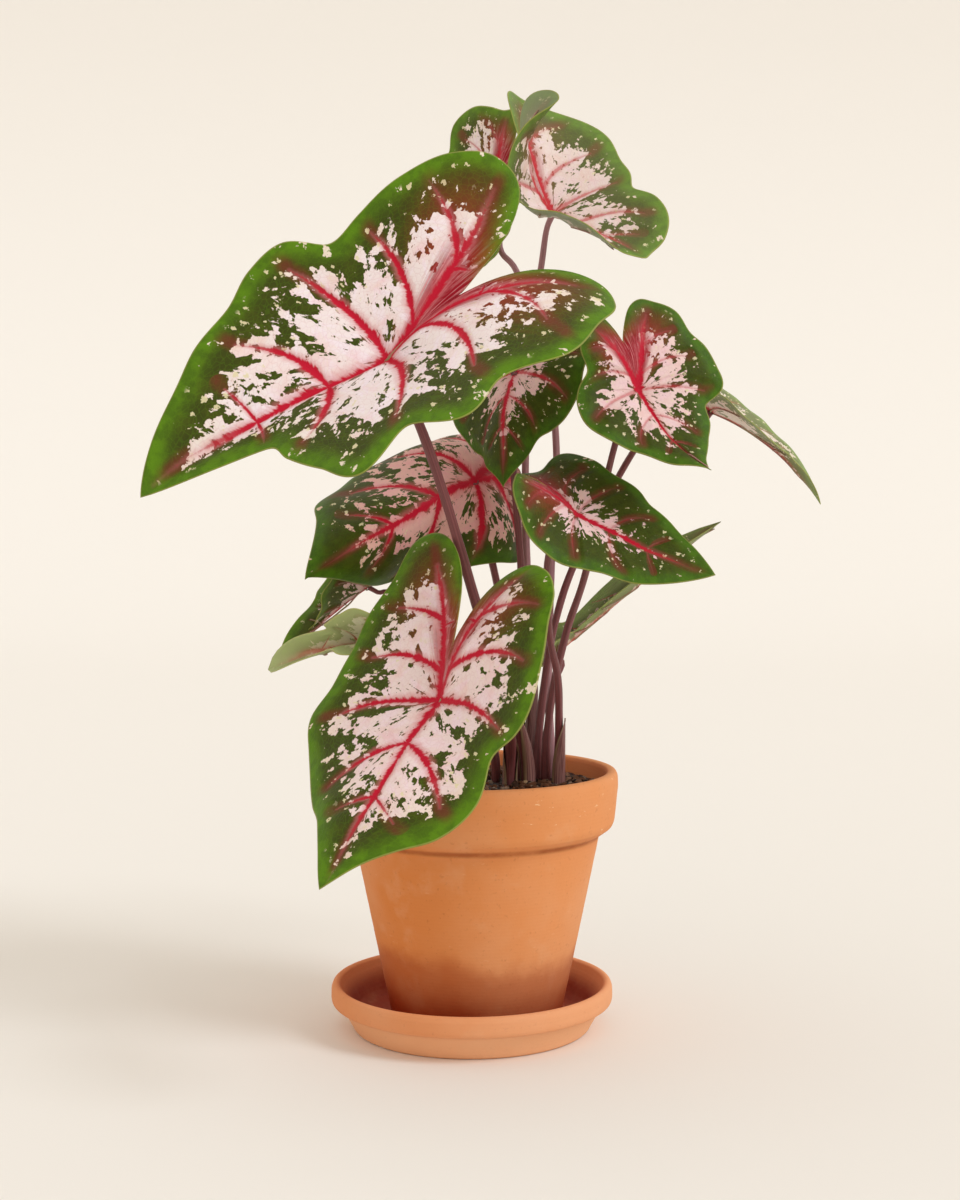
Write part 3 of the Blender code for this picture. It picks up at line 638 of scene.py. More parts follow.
def turned(name, outline, centre, steps, wobble):
    """A thrown shape: the outline turned round, a little uneven as clay is."""
    angle = np.linspace(0, TAU, steps + 1)
    radius, height = outline[:, 0][:, None], outline[:, 1][:, None]
    uneven = (0.5 * np.sin(2 * angle + 0.6) + 0.3 * np.sin(3 * angle + 1.9)
              + 0.2 * np.sin(5 * angle + height / 31))
    rings = 0.35 * np.sin(height / 1.9 + 0.4 * np.sin(3 * angle)) * np.clip(radius / 40, 0, 1)
    share = np.clip(radius / 60, 0, 1)
    radius_all = radius + wobble * (uneven * share + 0.3 * rings)
    height_all = height + wobble * 0.35 * np.sin(2 * angle + 2.2) * share * (height > 3)
    x = centre + radius_all * np.cos(angle)
    y = radius_all * np.sin(angle)
    piece = new_sheet(name, np.stack((x, y, height_all), -1))
    weld(piece)
    return piece


def make_saucer(settings):
    """The saucer, closed from the middle of its floor round to the middle of its foot."""
    shape = rounded(SAUCER, False, 0.9)
    inner = np.stack((np.linspace(0, 57, 12, endpoint=False), np.full(12, 5.0)), 1)
    outer = np.stack((np.linspace(63.6, 0, 12), np.zeros(12)), 1)[1:]
    outline = finer(np.concatenate((inner, shape, outer)))
    piece = turned("saucer_turned", outline, 0.0, settings.steps, settings.wobble)
    piece.data.materials.append(terracotta("saucer clay", settings, True))
    return settle(piece, "saucer")


def make_pot(settings):
    """The pot with its rim band, foot and drain hole."""
    shape = rounded(POT, True, 1.0)
    shape = np.concatenate((shape, shape[:1]))
    piece = turned("pot_turned", finer(shape), POT_X, settings.steps, settings.wobble)
    piece.data.materials.append(terracotta("pot clay", settings, False))
    return settle(piece, "pot")


def rough(x, y, scale, seed):
    """Smooth repeatable unevenness of a plane, about -1 to 1."""
    total = np.zeros_like(x)
    for k in range(1, 5):
        turn = seed * 1.3 + k * 2.1
        u = (x * math.cos(turn) + y * math.sin(turn)) / scale
        v = (-x * math.sin(turn) + y * math.cos(turn)) / scale
        total += np.sin(u * 1.7 * k + 1.3 * np.sin(v * 1.1 * k + seed) + k) / k
    return total / 2.1


def make_soil(settings):
    """The potting mix: a lumpy top over the plain body that fills the pot."""
    radii = np.linspace(0, SOIL_RADIUS, 58)
    top = np.stack((radii, np.interp(radii, (0, 30, 58, SOIL_RADIUS), (SOIL_TOP, 134.0, 133.4, 132.5))), 1)
    side = np.array(((70.2, 131.2), (69.05, 114.9), (60.6, 107.3), (40.8, 16.9), (39.3, 13.8), (35.9, 12.65),
                     (20, 12.65), (0, 12.65)))
    outline = np.concatenate((top, side))
    steps = 180
    angle = np.linspace(0, TAU, steps + 1)
    radius, height = (values[:, None] + 0 * angle for values in outline.T)
    x, y = radius * np.cos(angle), radius * np.sin(angle)
    lumps = 0.9 * rough(x, y, 9.0, 1) + 0.7 * rough(x, y, 3.4, 5) + 0.4 * rough(x, y, 1.6, 9)
    bank = 1.6 * np.exp(-((radius - 69) / 6) ** 2) * rough(x, y, 14.0, 3)
    height[:len(top)] += (settings.lumps * (lumps + bank))[:len(top)]
    piece = new_sheet("soil_mix", np.stack((POT_X + x, y, height), -1))
    piece.data.materials.append(soil_material())
    weld(piece)
    return settle(piece, "soil")


def make_chips(settings):
    """Bark chips, grit and crumbs that lie on the soil, joined in one piece."""
    bpy.ops.object.select_all(action="DESELECT")
    bpy.ops.mesh.primitive_ico_sphere_add(subdivisions=1, radius=1)
    piece = bpy.context.object
    ball = piece.data
    shape = np.array([vertex.co[:] for vertex in ball.vertices])
    faces = np.array([face.vertices[:] for face in ball.polygons])
    chance = np.random.default_rng(11)
    points, polygons, shades = [], [], []
    feet = np.array([LEAVES[n]["foot"] for n in LEAVES], float)
    for _ in range(settings.chips):
        angle = chance.uniform(0, TAU)
        radius = 68.0 * math.sqrt(chance.uniform(0, 1))
        x, y = POT_X + radius * math.cos(angle), radius * math.sin(angle)
        big = chance.uniform(0, 1) ** 2.2
        size = np.array((1.3 + 2.6 * big, 1.0 + 1.5 * big, 0.8 + 1.0 * big)) * chance.uniform(0.75, 1.2)
        if np.hypot(*(feet - (x, y)).T).min() < 4.0 + size[0]:
            size = size * 0.6
        solid = shape * (1 + chance.uniform(-0.28, 0.28, shape.shape)) * size
        turn = rotation(chance.uniform(0, TAU), chance.normal(0, 0.35), chance.normal(0, 0.35))
        limit = SOIL_RADIUS - np.abs(size).max()
        if radius > limit:
            x, y = POT_X + limit * math.cos(angle), limit * math.sin(angle)
        level = 134.3 - 0.00028 * radius ** 2 + 0.35 * size[2] + chance.uniform(-0.5, 1.0)
        polygons.append(faces + len(points) * len(shape))
        points.append(solid @ turn.T + (x, y, level))
        shades.append(np.full(len(shape), chance.uniform(0, 1)))
    mesh = bpy.data.meshes.new("soil_chips")
    mesh.from_pydata((np.concatenate(points) * MM).tolist(), [], np.concatenate(polygons).tolist())
    piece.data = mesh
    bpy.data.meshes.remove(ball)
    piece.name = "soil_chips"
    keep(piece, "shade", np.concatenate(shades))
    mesh.materials.append(chip_material())
    settle(piece)
    mesh.polygons.foreach_set("use_smooth", [False] * len(mesh.polygons))
    return piece


def rotation(spin, tip, lean):
    """Turn about the upright after two small tilts."""
    (a, b), (c, d), (e, f) = ((math.cos(angle), math.sin(angle)) for angle in (spin, tip, lean))
    around_z = np.array(((a, -b, 0), (b, a, 0), (0, 0, 1)))
    around_x = np.array(((1, 0, 0), (0, c, -d), (0, d, c)))
    around_y = np.array(((e, 0, f), (0, 1, 0), (-f, 0, e)))
    return around_z @ around_x @ around_y


# materials

class Value:
    """A number, vector or colour of a node tree. A sum of values adds the nodes that work it out."""

    def __init__(self, tree, socket):
        self.tree, self.socket = tree, socket

    def other(self, output):
        """Another output of the same node."""
        return Value(self.tree, self.socket.node.outputs[output])

    def __add__(self, more):
        return calc("ADD", self, more)

    def __sub__(self, less):
        return calc("SUBTRACT", self, less)

    def __rsub__(self, whole):
        return calc("SUBTRACT", whole, self)

    def __mul__(self, factor):
        return calc("MULTIPLY", self, factor)

    def __truediv__(self, divisor):
        return calc("DIVIDE", self, divisor)

    def __abs__(self):
        return calc("ABSOLUTE", self)

    def scaled(self, factor, offset):
        """The value times a factor, and an offset added."""
        return calc("MULTIPLY_ADD", self, factor, offset)

    def step(self, low, high, start=0.0, end=1.0):
        """Smooth step from start to end as the value goes from low to high."""
        return node("MapRange", {0: self, 1: low, 2: high, 3: start, 4: end}, interpolation_type="SMOOTHSTEP")


def node(kind, inputs=(), tree=None, output=0, **settings):
    """Adds a shader node, with its inputs linked or set, and gives one of its outputs."""
    inputs = dict(inputs)
    tree = tree or next(value.tree for value in inputs.values() if isinstance(value, Value))
    made = tree.nodes.new("ShaderNode" + kind)
    for key, value in settings.items():
        setattr(made, key, value)
    for slot, value in inputs.items():
        if isinstance(value, Value):
            tree.links.new(value.socket, made.inputs[slot])
        elif value is not None:
            made.inputs[slot].default_value = value
    return Value(tree, made.outputs[output])


def calc(operation, a, b=None, c=None):
    """One sum of a shader."""
    return node("Math", {0: a, 1: b, 2: c}, operation=operation)


def vector(operation, a, b=None):
    """One vector sum of a shader."""
    output = "Value" if operation in ("DOT_PRODUCT", "LENGTH") else "Vector"
    return node("VectorMath", {0: a, 1: b}, output=output, operation=operation)


def joined(x=0.0, y=0.0, z=0.0, tree=None):
    """A vector from three values."""
    return node("CombineXYZ", {0: x, 1: y, 2: z}, tree)


def parts(whole):
    """The three values of a vector."""
    first = node("SeparateXYZ", {0: whole})
    return first, first.other(1), first.other(2)


def mixed(share, a, b):
    """Colour between a and b."""
    a, b = ((*colour, 1.0) if isinstance(colour, tuple) else colour for colour in (a, b))
    return node("Mix", {0: share, 6: a, 7: b}, output=2, data_type="RGBA")


def layered(colour, *layers):
    """Lays colours over one. Each sets in as its value goes from low to high, and covers at most so much."""
    for value, low, high, most, goal in layers:
        colour = mixed(value.step(low, high, 0.0, most), colour, goal)
    return colour


def noise(where, scale, detail=3.0, roughness=0.55, distortion=0.0):
    """Cloudy pattern from 0 to 1."""
    return node("TexNoise", {"Vector": where, "Scale": scale, "Detail": detail, "Roughness": roughness,
                             "Distortion": distortion})


def toward(colour, goal, share):
    """Colour part of the way to another."""
    return tuple(a + (b - a) * share for a, b in zip(colour, goal))


def new_material(name):
    """A material with nodes."""
    made = bpy.data.materials.new(name)
    made.use_nodes = True
    return made


def once(draw, name, *given):
    """The material of a name, drawn only if there is none yet."""
    return bpy.data.materials.get(name) or draw(new_material(name), *given)


def stored(made, name, output="Vector"):
    """What keep() stored at the vertices."""
    return node("Attribute", tree=made.node_tree, output=output, attribute_name=name)


def spot_on(made):
    """Place on the piece, in metres."""
    return node("TexCoord", tree=made.node_tree, output="Object")


def finish_shader(made, colour, roughness, height, depth, strength, shine=0.5):
    """Gives a material its colour, roughness, relief and shine."""
    bump = node("Bump", {"Height": height, "Strength": strength, "Distance": depth})
    shader = made.node_tree.nodes["Principled BSDF"]
    for slot, value in (("Base Color", colour), ("Roughness", roughness), ("Normal", bump)):
        made.node_tree.links.new(value.socket, shader.inputs[slot])
    shader.inputs["Specular IOR Level"].default_value = shine
    return made


def vein_group():
    """Node group that keeps the nearest of the veins tried so far."""
    group = bpy.data.node_groups.get("caladium vein")
    if group:
        return group
    group = bpy.data.node_groups.new("caladium vein", "ShaderNodeTree")
    for kind, names in (("Vector", ("Point", "Best", "Start", "Ahead", "Aside")),
                        ("Float", ("Length", "Bow", "Thick", "Thin", "Seed"))):
        for name in names:
            group.interface.new_socket(name, in_out="INPUT", socket_type="NodeSocket" + kind)
    group.interface.new_socket("Best", in_out="OUTPUT", socket_type="NodeSocketVector")
    given = [Value(group, socket) for socket in group.nodes.new("NodeGroupInput").outputs]
    point, best, start, ahead, aside, length, bow, thick, thin, seed = given[:10]
    apart = vector("SUBTRACT", point, start)
    run = vector("DOT_PRODUCT", apart, ahead)
    off = vector("DOT_PRODUCT", apart, aside)
    part = node("Clamp", {0: run / length})
    off = off - part * (1.0 - part) * 4.0 * bow
    far = vector("LENGTH", joined(off, run - part * length))
    near = far / node("MapRange", {0: part, 3: thick, 4: thin})
    wins = calc("LESS_THAN", near, parts(best)[0])
    nearest = node("Mix", {0: wins, 4: best, 5: joined(near, off, run + seed)}, output=1, data_type="VECTOR")
    group.links.new(nearest.socket, group.nodes.new("NodeGroupOutput").inputs[0])
    return group


def nearest_vein(leaf, flat, count=None):
    """Relative nearness of the closest of the first veins, the way aside from it and the run along it."""
    x, y, _ = parts(flat)
    folded = joined(abs(x), y)
    best = joined(99.0, 9.0, 0.0, flat.tree)
    for index, (start, ahead, reach, bow, thick, thin) in enumerate(vein_lines(leaf)[:count]):
        best = node("Group", {"Point": folded, "Best": best, "Start": (*start, 0), "Ahead": (*ahead, 0),
                              "Aside": (-ahead[1], ahead[0], 0), "Length": reach, "Bow": bow, "Thick": thick,
                              "Thin": thin, "Seed": index * 1.7}, node_tree=vein_group())
    return parts(best)


def leaf_palette(number, under):
    """A leaf's colours: painted shade on the low leaves, a paler wash that is partly painted light, and greyer
    below.
    """
    settings = bpy.context.scene.caladium_leaves
    margin, inner, blush, rib, lightest = (
        tuple(getattr(settings, name)) for name in ("margin", "inner", "blush", "rib", "white"))
    _, white, _, paleness_and_painted_light, _ = LOOKS[number]
    pale = toward(blush, lightest, white)
    # painted shade: the margin green of the leaves lower down is darkened
    if number in PAINTED_SHADE_LEAVES:
        margin = toward(margin, tint(44, 76, 16), 0.45)
    palette = {
        "margin": margin, "inner": inner, "pale": pale, "blush": toward(blush, pale, 0.35), "rib": rib,
        "halo": tint(112, 50, 34), "cream": tint(226, 214, 172), "deep": tint(38, 46, 10),
    }
    for key, colour in palette.items():
        # the wash is partly the leaf's own paleness and partly painted light on leaves turned away from the
        # key light
        if paleness_and_painted_light:
            colour = toward(colour, tint(202, 208, 152), paleness_and_painted_light * (0.3 if key == "rib" else 1.0))
        palette[key] = toward(colour, tint(150, 160, 128), 0.55) if under else colour
    return palette


def draw_blade(made, number, under):
    """A leaf's pattern: green margin, torn pale blotches, crimson feathered veins and a red notch."""
    leaf, (reach, _, red, _, islands) = LEAVES[number], LOOKS[number]
    margin, inner, pale, blush, rib, halo, cream, deep = leaf_palette(number, under).values()
    unit = leaf_scale(leaf)
    busy = math.sqrt(unit / 100)
    seed = number * 3.7
    flat, rim = stored(made, "flat"), stored(made, "rim", "Fac")
    x, y, share = parts(flat)
    near, aside, run = nearest_vein(leaf, flat)
    main_near = nearest_vein(leaf, flat, 2)[0]
    angle = calc("ARCTAN2", x, y)
    wide = abs(angle)
    radius = vector("LENGTH", joined(x, y))

    # strokes that run outward from the stalk's end, and strokes that leave the nearest vein
    spread = joined(angle * (4.7 * busy), radius * (2.4 * busy), seed)
    strokes = noise(spread, 1.5, 4.0, 0.55, 0.35)
    slant = run - abs(aside) * 0.7
    feathers = noise(joined(slant * (10.0 * busy), aside * (4.0 * busy), seed), 1.5, 4.0, 0.55)
    grain = noise(joined(x, y, seed), 13.0 * busy, 4.0, 0.58)
    torn = strokes * 1.15 + feathers * 0.70 + grain.scaled(1.00, -0.925)

    # how much of the blade is pale, from the middle out to the green margin
    sector = noise(joined(angle * 1.3, radius, seed + 5), 1.4, 1.0)
    level = share.step(reach * 1.12, reach * 0.40) * rim.step(4.0 * busy, 17.0 * busy)
    level = level * sector.step(0.30, 0.62, 0.72, 1.10)
    gap = torn - level.scaled(-0.42, 0.74)
    rounder = joined(x * (9.0 * busy), y * (9.0 * busy), seed + 2)
    holes = noise(rounder, 1.0, 4.0, 0.6, 0.5) * 0.6 + noise(spread, 2.6, 4.0, 0.55, 0.3) * 0.4
    solid = (holes - level.scaled(0.10, 0.505 - islands)).step(0.012, -0.008)
    blotch = gap.step(-0.012, 0.016) * solid

    # small pale dots in the green, in a few of the cells and away from the rim
    cells = node("TexVoronoi", {"Vector": joined(angle * (11.0 * busy), radius * (10.0 * busy), seed),
                                "Scale": 1.6, "Randomness": 1.0})
    rare = parts(cells.other("Color"))[0]
    speck = cells + noise(joined(x, y, seed + 9), 42.0 * busy, 3.0, 0.6).scaled(1.5, -0.75)
    dot = rare.scaled(0.50, -0.31).step(0.0, 0.02) * speck.step(0.22, 0.17)
    dot = dot * rim.step(4.0 * busy, 8.0 * busy) * share.step(0.25, 0.60)

    # greens, with a brownish halo along the veins
    cloud = noise(flat, 4.0, 4.0, 0.6)
    net = node("TexVoronoi", {"Vector": flat, "Scale": 26.0 * busy}, feature="DISTANCE_TO_EDGE")
    toward_rim = rim + cloud.scaled(12.0 * busy, -6.0 * busy)
    green = layered(inner, (toward_rim, 15.0 * busy, 2.0 * busy, 1.0, margin),
                    (grain, 0.62, 0.38, 0.35, deep), (net, 0.09, 0.0, 0.22, margin))
    beside = (abs(aside) * unit).step(6.5 * busy, 1.0) * share.step(0.2, 0.6, 0.2, 0.75)
    beside = beside * cloud.step(0.3, 0.6, 0.45, 1.0) * rim.step(2.0 * busy, 12.0 * busy)
    green = mixed(beside, green, halo)

    # pale blotches, pinker at the torn edges and in clouds
    pink = mixed(cloud.step(0.46, 0.72) * 0.55, pale, blush)
    pink = layered(pink, (gap, 0.05, 0.0, 0.5, blush), (feathers, 0.62, 0.48, 0.18, cream),
                   (share, 0.60, 0.98, 0.6, cream), (net, 0.07, 0.0, 0.22, tint(206, 150, 160)))
    colour = mixed(blotch, green, pink)
    colour = mixed(dot * 0.85, colour, cream)

    # the red notch between the two basal ribs, streaked outward
    streak = noise(joined(angle * 26.0, radius * 3.0, seed), 1.4, 4.0, 0.6)
    ragged = streak.scaled(0.30, -0.15)
    lobes = (wide + ragged).step(2.05, 2.60) * share.step(1.0, 0.55)
    colour = mixed((1.0 - blotch) * (lobes * (0.7 * red)), colour, toward(halo, rib, 0.5))
    notch = (wide + ragged).step(2.48, 2.70) * (radius + ragged).step(0.92, 0.50) * red
    rose = mixed(streak.step(0.46, 0.70), toward(rib, tint(112, 6, 16), 0.60), toward(blush, rib, 0.55))
    colour = mixed(notch, colour, rose)

    # feathered crimson veins, thinner and fainter toward the margin
    teeth = noise(joined(slant * (62.0 * busy), aside * 7.0, seed), 1.0, 3.0, 0.6)
    fray = feathers.scaled(2.0, -1.0) + teeth.scaled(1.7, -0.85) + grain.scaled(1.6, -0.8)
    fray = fray + share.step(0.60, 1.0, 0.0, 1.7)
    frayed = near + fray
    faint = FAINT_LATERALS.get(number, 1.0)
    glow = frayed.step(3.4, 1.0) * share.step(0.98, 0.60, 0.1 * faint, 0.50 * faint)
    colour = mixed(glow, colour, toward(rib, blush, 0.35))
    core = calc("MAXIMUM", frayed.step(1.45, 0.55, 0.0, faint), (main_near + fray).step(1.45, 0.55))
    core = core * share.step(0.55 if unit > 75 else 0.35, 0.95, 1.0, 0.2)
    colour = mixed(core, colour, mixed(share.step(0.45, 0.95), rib, toward(rib, halo, 0.35)))
    # red where the stalk meets the blade; the thin yellow-green line along the margin is a painted highlight
    colour = layered(colour, (radius, 0.050, 0.022, 1.0, rib), (rim, 0.9, 0.3, 0.5, tint(178, 170, 96)))
    height = near.step(2.0, 0.2) * (0.7 if under else -0.7) + feathers * 0.5 + net.step(0.0, 0.12) * 0.22
    return finish_shader(made, colour, grain.scaled(0.22, 0.38), height, 0.0006, 0.45, 0.13)


def rib_material(number):
    """Pinkish green of the ribs under a leaf, browner in places."""
    made = new_material("leaf_%02d_rib" % number)
    cloud = noise(spot_on(made), 90.0, 4.0)
    colour = layered(tint(168, 120, 112), (cloud, 0.35, 0.65, 1.0, tint(150, 140, 100)))
    return finish_shader(made, colour, cloud.scaled(0.2, 0.4), cloud, 0.0004, 0.3)


def draw_stalk(made, light):
    """Purple brown with fine streaks along the stalk; the light kind is a lighter copy, painted light on the
    lit stalks.
    """
    grain = stored(made, "grain")
    drawn = vector("MULTIPLY", grain, (1.0, 1.0, 0.25))
    streak = noise(drawn, 5.5, 5.0, 0.65)
    speck = noise(drawn, 26.0, 3.0, 0.7)
    cloud = noise(spot_on(made), 22.0, 3.0)
    base = tuple(bpy.context.scene.caladium_leaves.stalk)
    # painted light: the lit stalks get a lighter, pinker base and less darkening
    base = toward(base, tint(206, 158, 164), 0.5 if light else 0.0)
    colour = layered(
        toward(base, tint(48, 20, 26), 0.25 if light else 0.42), (streak, 0.40, 0.62, 1.0, base),
        (cloud, 0.50, 0.70, 0.35, tint(140, 104, 96)), (speck, 0.60, 0.68, 0.45, tint(158, 124, 116)),
        (parts(grain)[2], 0.30, 0.22, 0.35, tint(70, 34, 36)))
    return finish_shader(made, colour, cloud.scaled(0.25, 0.30), streak + speck * 0.3, 0.0005, 0.35, 0.35)


def draw_sheath(made):
    """Purple brown sheath with green edges."""
    grain = stored(made, "grain")
    streak = noise(vector("MULTIPLY", grain, (4.0, 1.0, 0.5)), 4.0, 4.0, 0.6)
    edge = abs(parts(grain)[0]) + streak.scaled(0.3, -0.15)
    colour = layered(tint(104, 60, 58), (streak, 0.38, 0.64, 1.0, tint(156, 112, 104)),
                     (edge, 0.70, 0.95, 0.75, tint(142, 124, 90)))
    return finish_shader(made, colour, streak.scaled(0.2, 0.35), streak, 0.0005, 0.35)


def terracotta(name, settings, is_saucer):
    """Fired clay: mottling, speckles, scuffs, faint rings, damp, painted light where lit and painted shadow
    under the band.
    """
    made = new_material(name)
    where = spot_on(made)
    x, y, z = parts(where)
    away = vector("LENGTH", joined(x - (0.0 if is_saucer else POT_X * MM), y))
    cloud = noise(where, 14.0, 4.0, 0.55)
    patch = noise(where, 42.0, 5.0, 0.6)
    fine = noise(where, 420.0, 3.0, 0.6)
    base = tuple(settings.clay)
    pale = toward(base, tint(238, 196, 158), 0.55)
    painted_lit_side = toward(base, tint(244, 178, 126), 0.36)
    # painted light: the clay turns lighter and warmer toward the right, where the key light falls
    colour = layered(base, (cloud.scaled(0.04, x), -0.06, 0.09, 1.0, painted_lit_side), (cloud, 0.35, 0.65, 0.3, pale),
                     (patch, 0.55, 0.72, 0.25, pale), (fine, 0.60, 0.72, 0.20, tint(150, 78, 40)))
    scuff = noise(vector("MULTIPLY", where, (1.0, 1.0, 3.2)), 95.0, 4.0, 0.7)
    rim_band = calc("COMPARE", z, 0.128, 0.014)
    colour = mixed(scuff.step(0.66, 0.70) * rim_band.scaled(0.55, 0.12), colour, tint(246, 214, 170))
    if is_saucer:
        # paler than the pot, lighter still outside below the band as painted light against the shade under the
        # band, and wet on the floor inside
        colour = mixed(0.28, colour, tint(236, 176, 140))
        inside = (z - away.scaled(0.95, -0.0551)).step(-0.0003, 0.0008)
        below = (1.0 - inside) * z.step(0.0160, 0.0125)
        # painted light on the outer wall below the band
        colour = mixed(below * 0.45, colour, tint(246, 196, 152))
        wet = away.step(0.0725, 0.066) * z.step(0.0035, 0.0050) * inside * patch.step(0.25, 0.55, 0.75, 1.0)
    else:
        # a dark line under the band, painted shadow of its overhang and partly dirt, painted light inside the
        # rim, and a ragged tide mark low down
        band_shadow_and_dirt = abs(z - 0.1082).step(0.0026, 0.0004) * away.step(0.0650, 0.0660)
        # painted shadow under the band's overhang, partly dirt
        colour = mixed(band_shadow_and_dirt * patch.step(0.30, 0.60, 0.35, 0.75), colour, tint(150, 74, 30))
        # painted light: the inside of the rim is turned lighter and warmer
        painted_lit_rim_inside = away.step(0.0735, 0.0715) * z.step(0.120, 0.130)
        colour = mixed(painted_lit_rim_inside * 0.55, colour, tint(244, 140, 88))
        tide = z + cloud.scaled(0.048, -0.024) + patch.scaled(0.008, -0.004)
        wet = tide.step(0.051, 0.038, 0.0, 0.50) + tide.step(0.038, 0.008, 0.0, 0.50)
    colour = mixed(wet, colour, tuple(settings.damp))
    rings = node("TexWave", {"Vector": joined(0.0, 0.0, z), "Scale": 160.0, "Distortion": 1.5, "Detail": 2.0},
                 output=1, bands_direction="Z")
    height = fine * 0.5 + patch * 0.5 + rings * 0.12
    dull = wet.scaled(-0.22, patch.scaled(0.12, 0.76))
    return finish_shader(made, colour, dull, height, 0.0005, 0.35, 0.25)


def soil_material():
    """Near black damp mix with brown crumbs."""
    made = new_material("potting_mix_fine")
    where = spot_on(made)
    crumb = noise(where, 320.0, 5.0, 0.7)
    colour = layered(tint(30, 18, 13), (crumb, 0.40, 0.66, 1.0, tint(84, 52, 38)),
                     (noise(where, 60.0, 3.0), 0.50, 0.70, 0.4, tint(46, 34, 28)))
    return finish_shader(made, colour, crumb.scaled(0.3, 0.6), crumb, 0.0015, 0.8)


def chip_material():
    """Bark, grit and crumbs, each chip with its own shade."""
    made = new_material("soil_chips")
    shade = stored(made, "shade", "Fac")
    grain = noise(spot_on(made), 600.0, 3.0, 0.65)
    colour = layered(
        tint(38, 24, 15), (shade, 0.0, 0.45, 1.0, tint(92, 56, 34)),
        (shade, 0.50, 0.75, 1.0, tint(118, 82, 60)), (shade, 0.82, 0.88, 1.0, tint(128, 110, 94)),
        (shade, 0.935, 0.95, 1.0, tint(186, 150, 112)), (grain, 0.55, 0.75, 0.5, tint(24, 16, 14)))
    return finish_shader(made, colour, grain.scaled(0.3, 0.55), grain, 0.0006, 0.6, 0.15)


def tuber_material():
    """Brown corky skin of the buried tuber."""
    made = new_material("tuber_skin")
    bark = noise(vector("MULTIPLY", spot_on(made), (1.0, 1.0, 2.5)), 120.0, 5.0, 0.65)
    colour = layered(tint(70, 46, 32), (bark, 0.38, 0.64, 1.0, tint(132, 98, 70)))
    return finish_shader(made, colour, bark.scaled(0.2, 0.7), bark, 0.0012, 0.7)


# stage

def plain_material(name, colour, roughness):
    """The stage's plain finish."""
    made = new_material(name)
    values = made.node_tree.nodes["Principled BSDF"].inputs
    values["Base Color"].default_value = (*colour, 1.0)
    values["Roughness"].default_value = roughness
    values["Specular IOR Level"].default_value = 0.2
    return made


def make_floor(settings):
    """A pale floor that bends up into a backdrop far behind."""
    columns, rows = 3, 60
    near, far, bend, tall = 4.2, 2.2, 1.6, 4.0
    curve = bend * math.pi / 2
    points = []
    for spot in np.linspace(0, 1, rows) * (near + far + curve + tall):
        past = spot - near - far
        turn = min(max(past, 0) / bend, math.pi / 2)
        y = min(-near + spot, far) + bend * math.sin(turn)
        z = bend - bend * math.cos(turn) + max(past - curve, 0)
        points += [(x, y, z) for x in np.linspace(-6.0, 6.0, columns)]
    piece = new_sheet("studio_floor", np.reshape(points, (rows, columns, 3)) / MM)
    piece.data.polygons.foreach_set("use_smooth", [True] * len(piece.data.polygons))
    piece.data.materials.append(plain_material("studio_floor", tuple(settings.floor), 0.9))
    return piece


def add_light(name, source, strength, spread, colour):
    """A wide even light that comes from the direction of a point."""
    lamp = bpy.data.lights.new(name, "SUN")
    lamp.energy = strength
    lamp.angle = spread
    lamp.color = colour
    made = bpy.data.objects.new(name, lamp)
    bpy.context.scene.collection.objects.link(made)
    made.location = source
    x, y, z = source
    made.rotation_euler = (math.atan2(math.hypot(x, y), z), 0.0, math.atan2(x, -y))
    return made


def make_camera(settings):
    """The camera at the angle and distance that the plant is usually shown from."""
    data = bpy.data.cameras.new("camera")
    data.lens = settings.lens
    data.sensor_width = SENSOR
    camera = bpy.data.objects.new("camera", data)
    bpy.context.scene.collection.objects.link(camera)
    camera.location = tuple(settings.eye)
    camera.rotation_euler = (math.radians(90) - settings.down, 0.0, 0.0)
    data.clip_start, data.clip_end = 0.05, 50.0
    bpy.context.scene.camera = camera


# settings, operators and panel

def size(name, text, value, **more):
    """A number setting."""
    return bpy.props.FloatProperty(name=name, description=text, default=value, **more)


def paint(name, text, value):
    """A colour setting."""
    return bpy.props.FloatVectorProperty(name=name, description=text, default=value, subtype="COLOR", size=3,
                                         min=0.0, max=1.0)


class CaladiumLeaves(bpy.types.PropertyGroup):
    thickness: size("Blade thickness", "Thickness of a blade near its middle, in mm", 0.8, min=0.3, max=2.0)
    fineness: size("Fineness", "How finely the blades are meshed", 1.0, min=0.2, max=2.0)
    groove: size("Rib depth", "How deep the ribs are sunk in the blade, in mm", 0.55, min=0.0, max=1.5)
    puff: size("Puff", "How far the blade swells between ribs, in mm", 0.9, min=0.0, max=3.0)
    ripple: size("Ripple", "Height of the small waves at the margin, in mm", 0.8, min=0.0, max=3.0)
    swelling: size("Base swelling", "How much wider a stalk is at the soil", 0.14, min=0.0, max=1.0)
    margin: paint("Margin green", "Bright green at the margin", tint(90, 130, 16))
    inner: paint("Inner green", "Dark green between the ribs", tint(68, 76, 14))
    white: paint("White", "Palest blotches", tint(243, 231, 236))
    blush: paint("Blush", "Pinkest blotches", tint(232, 164, 162))
    rib: paint("Crimson", "Veins of the upper face", tint(190, 18, 46))
    stalk: paint("Stalk", "Purple brown of the stalks", tint(134, 74, 74))


class CaladiumPot(bpy.types.PropertyGroup):
    steps: bpy.props.IntProperty(name="Steps", description="Steps round the turned clay", default=192,
                                 min=24, max=512)
    wobble: size("Unevenness", "How uneven the clay is, in mm", 0.35, min=0.0, max=2.0)
    clay: paint("Clay", "Dry terracotta", tint(212, 125, 60))
    damp: paint("Damp clay", "Terracotta that has drawn up water", tint(154, 52, 12))
    lumps: size("Soil lumps", "Height of the soil's lumps, in mm", 0.9, min=0.0, max=3.0)
    chips: bpy.props.IntProperty(name="Chips", description="Number of chips on the soil", default=1100,
                                 min=0, max=4000)


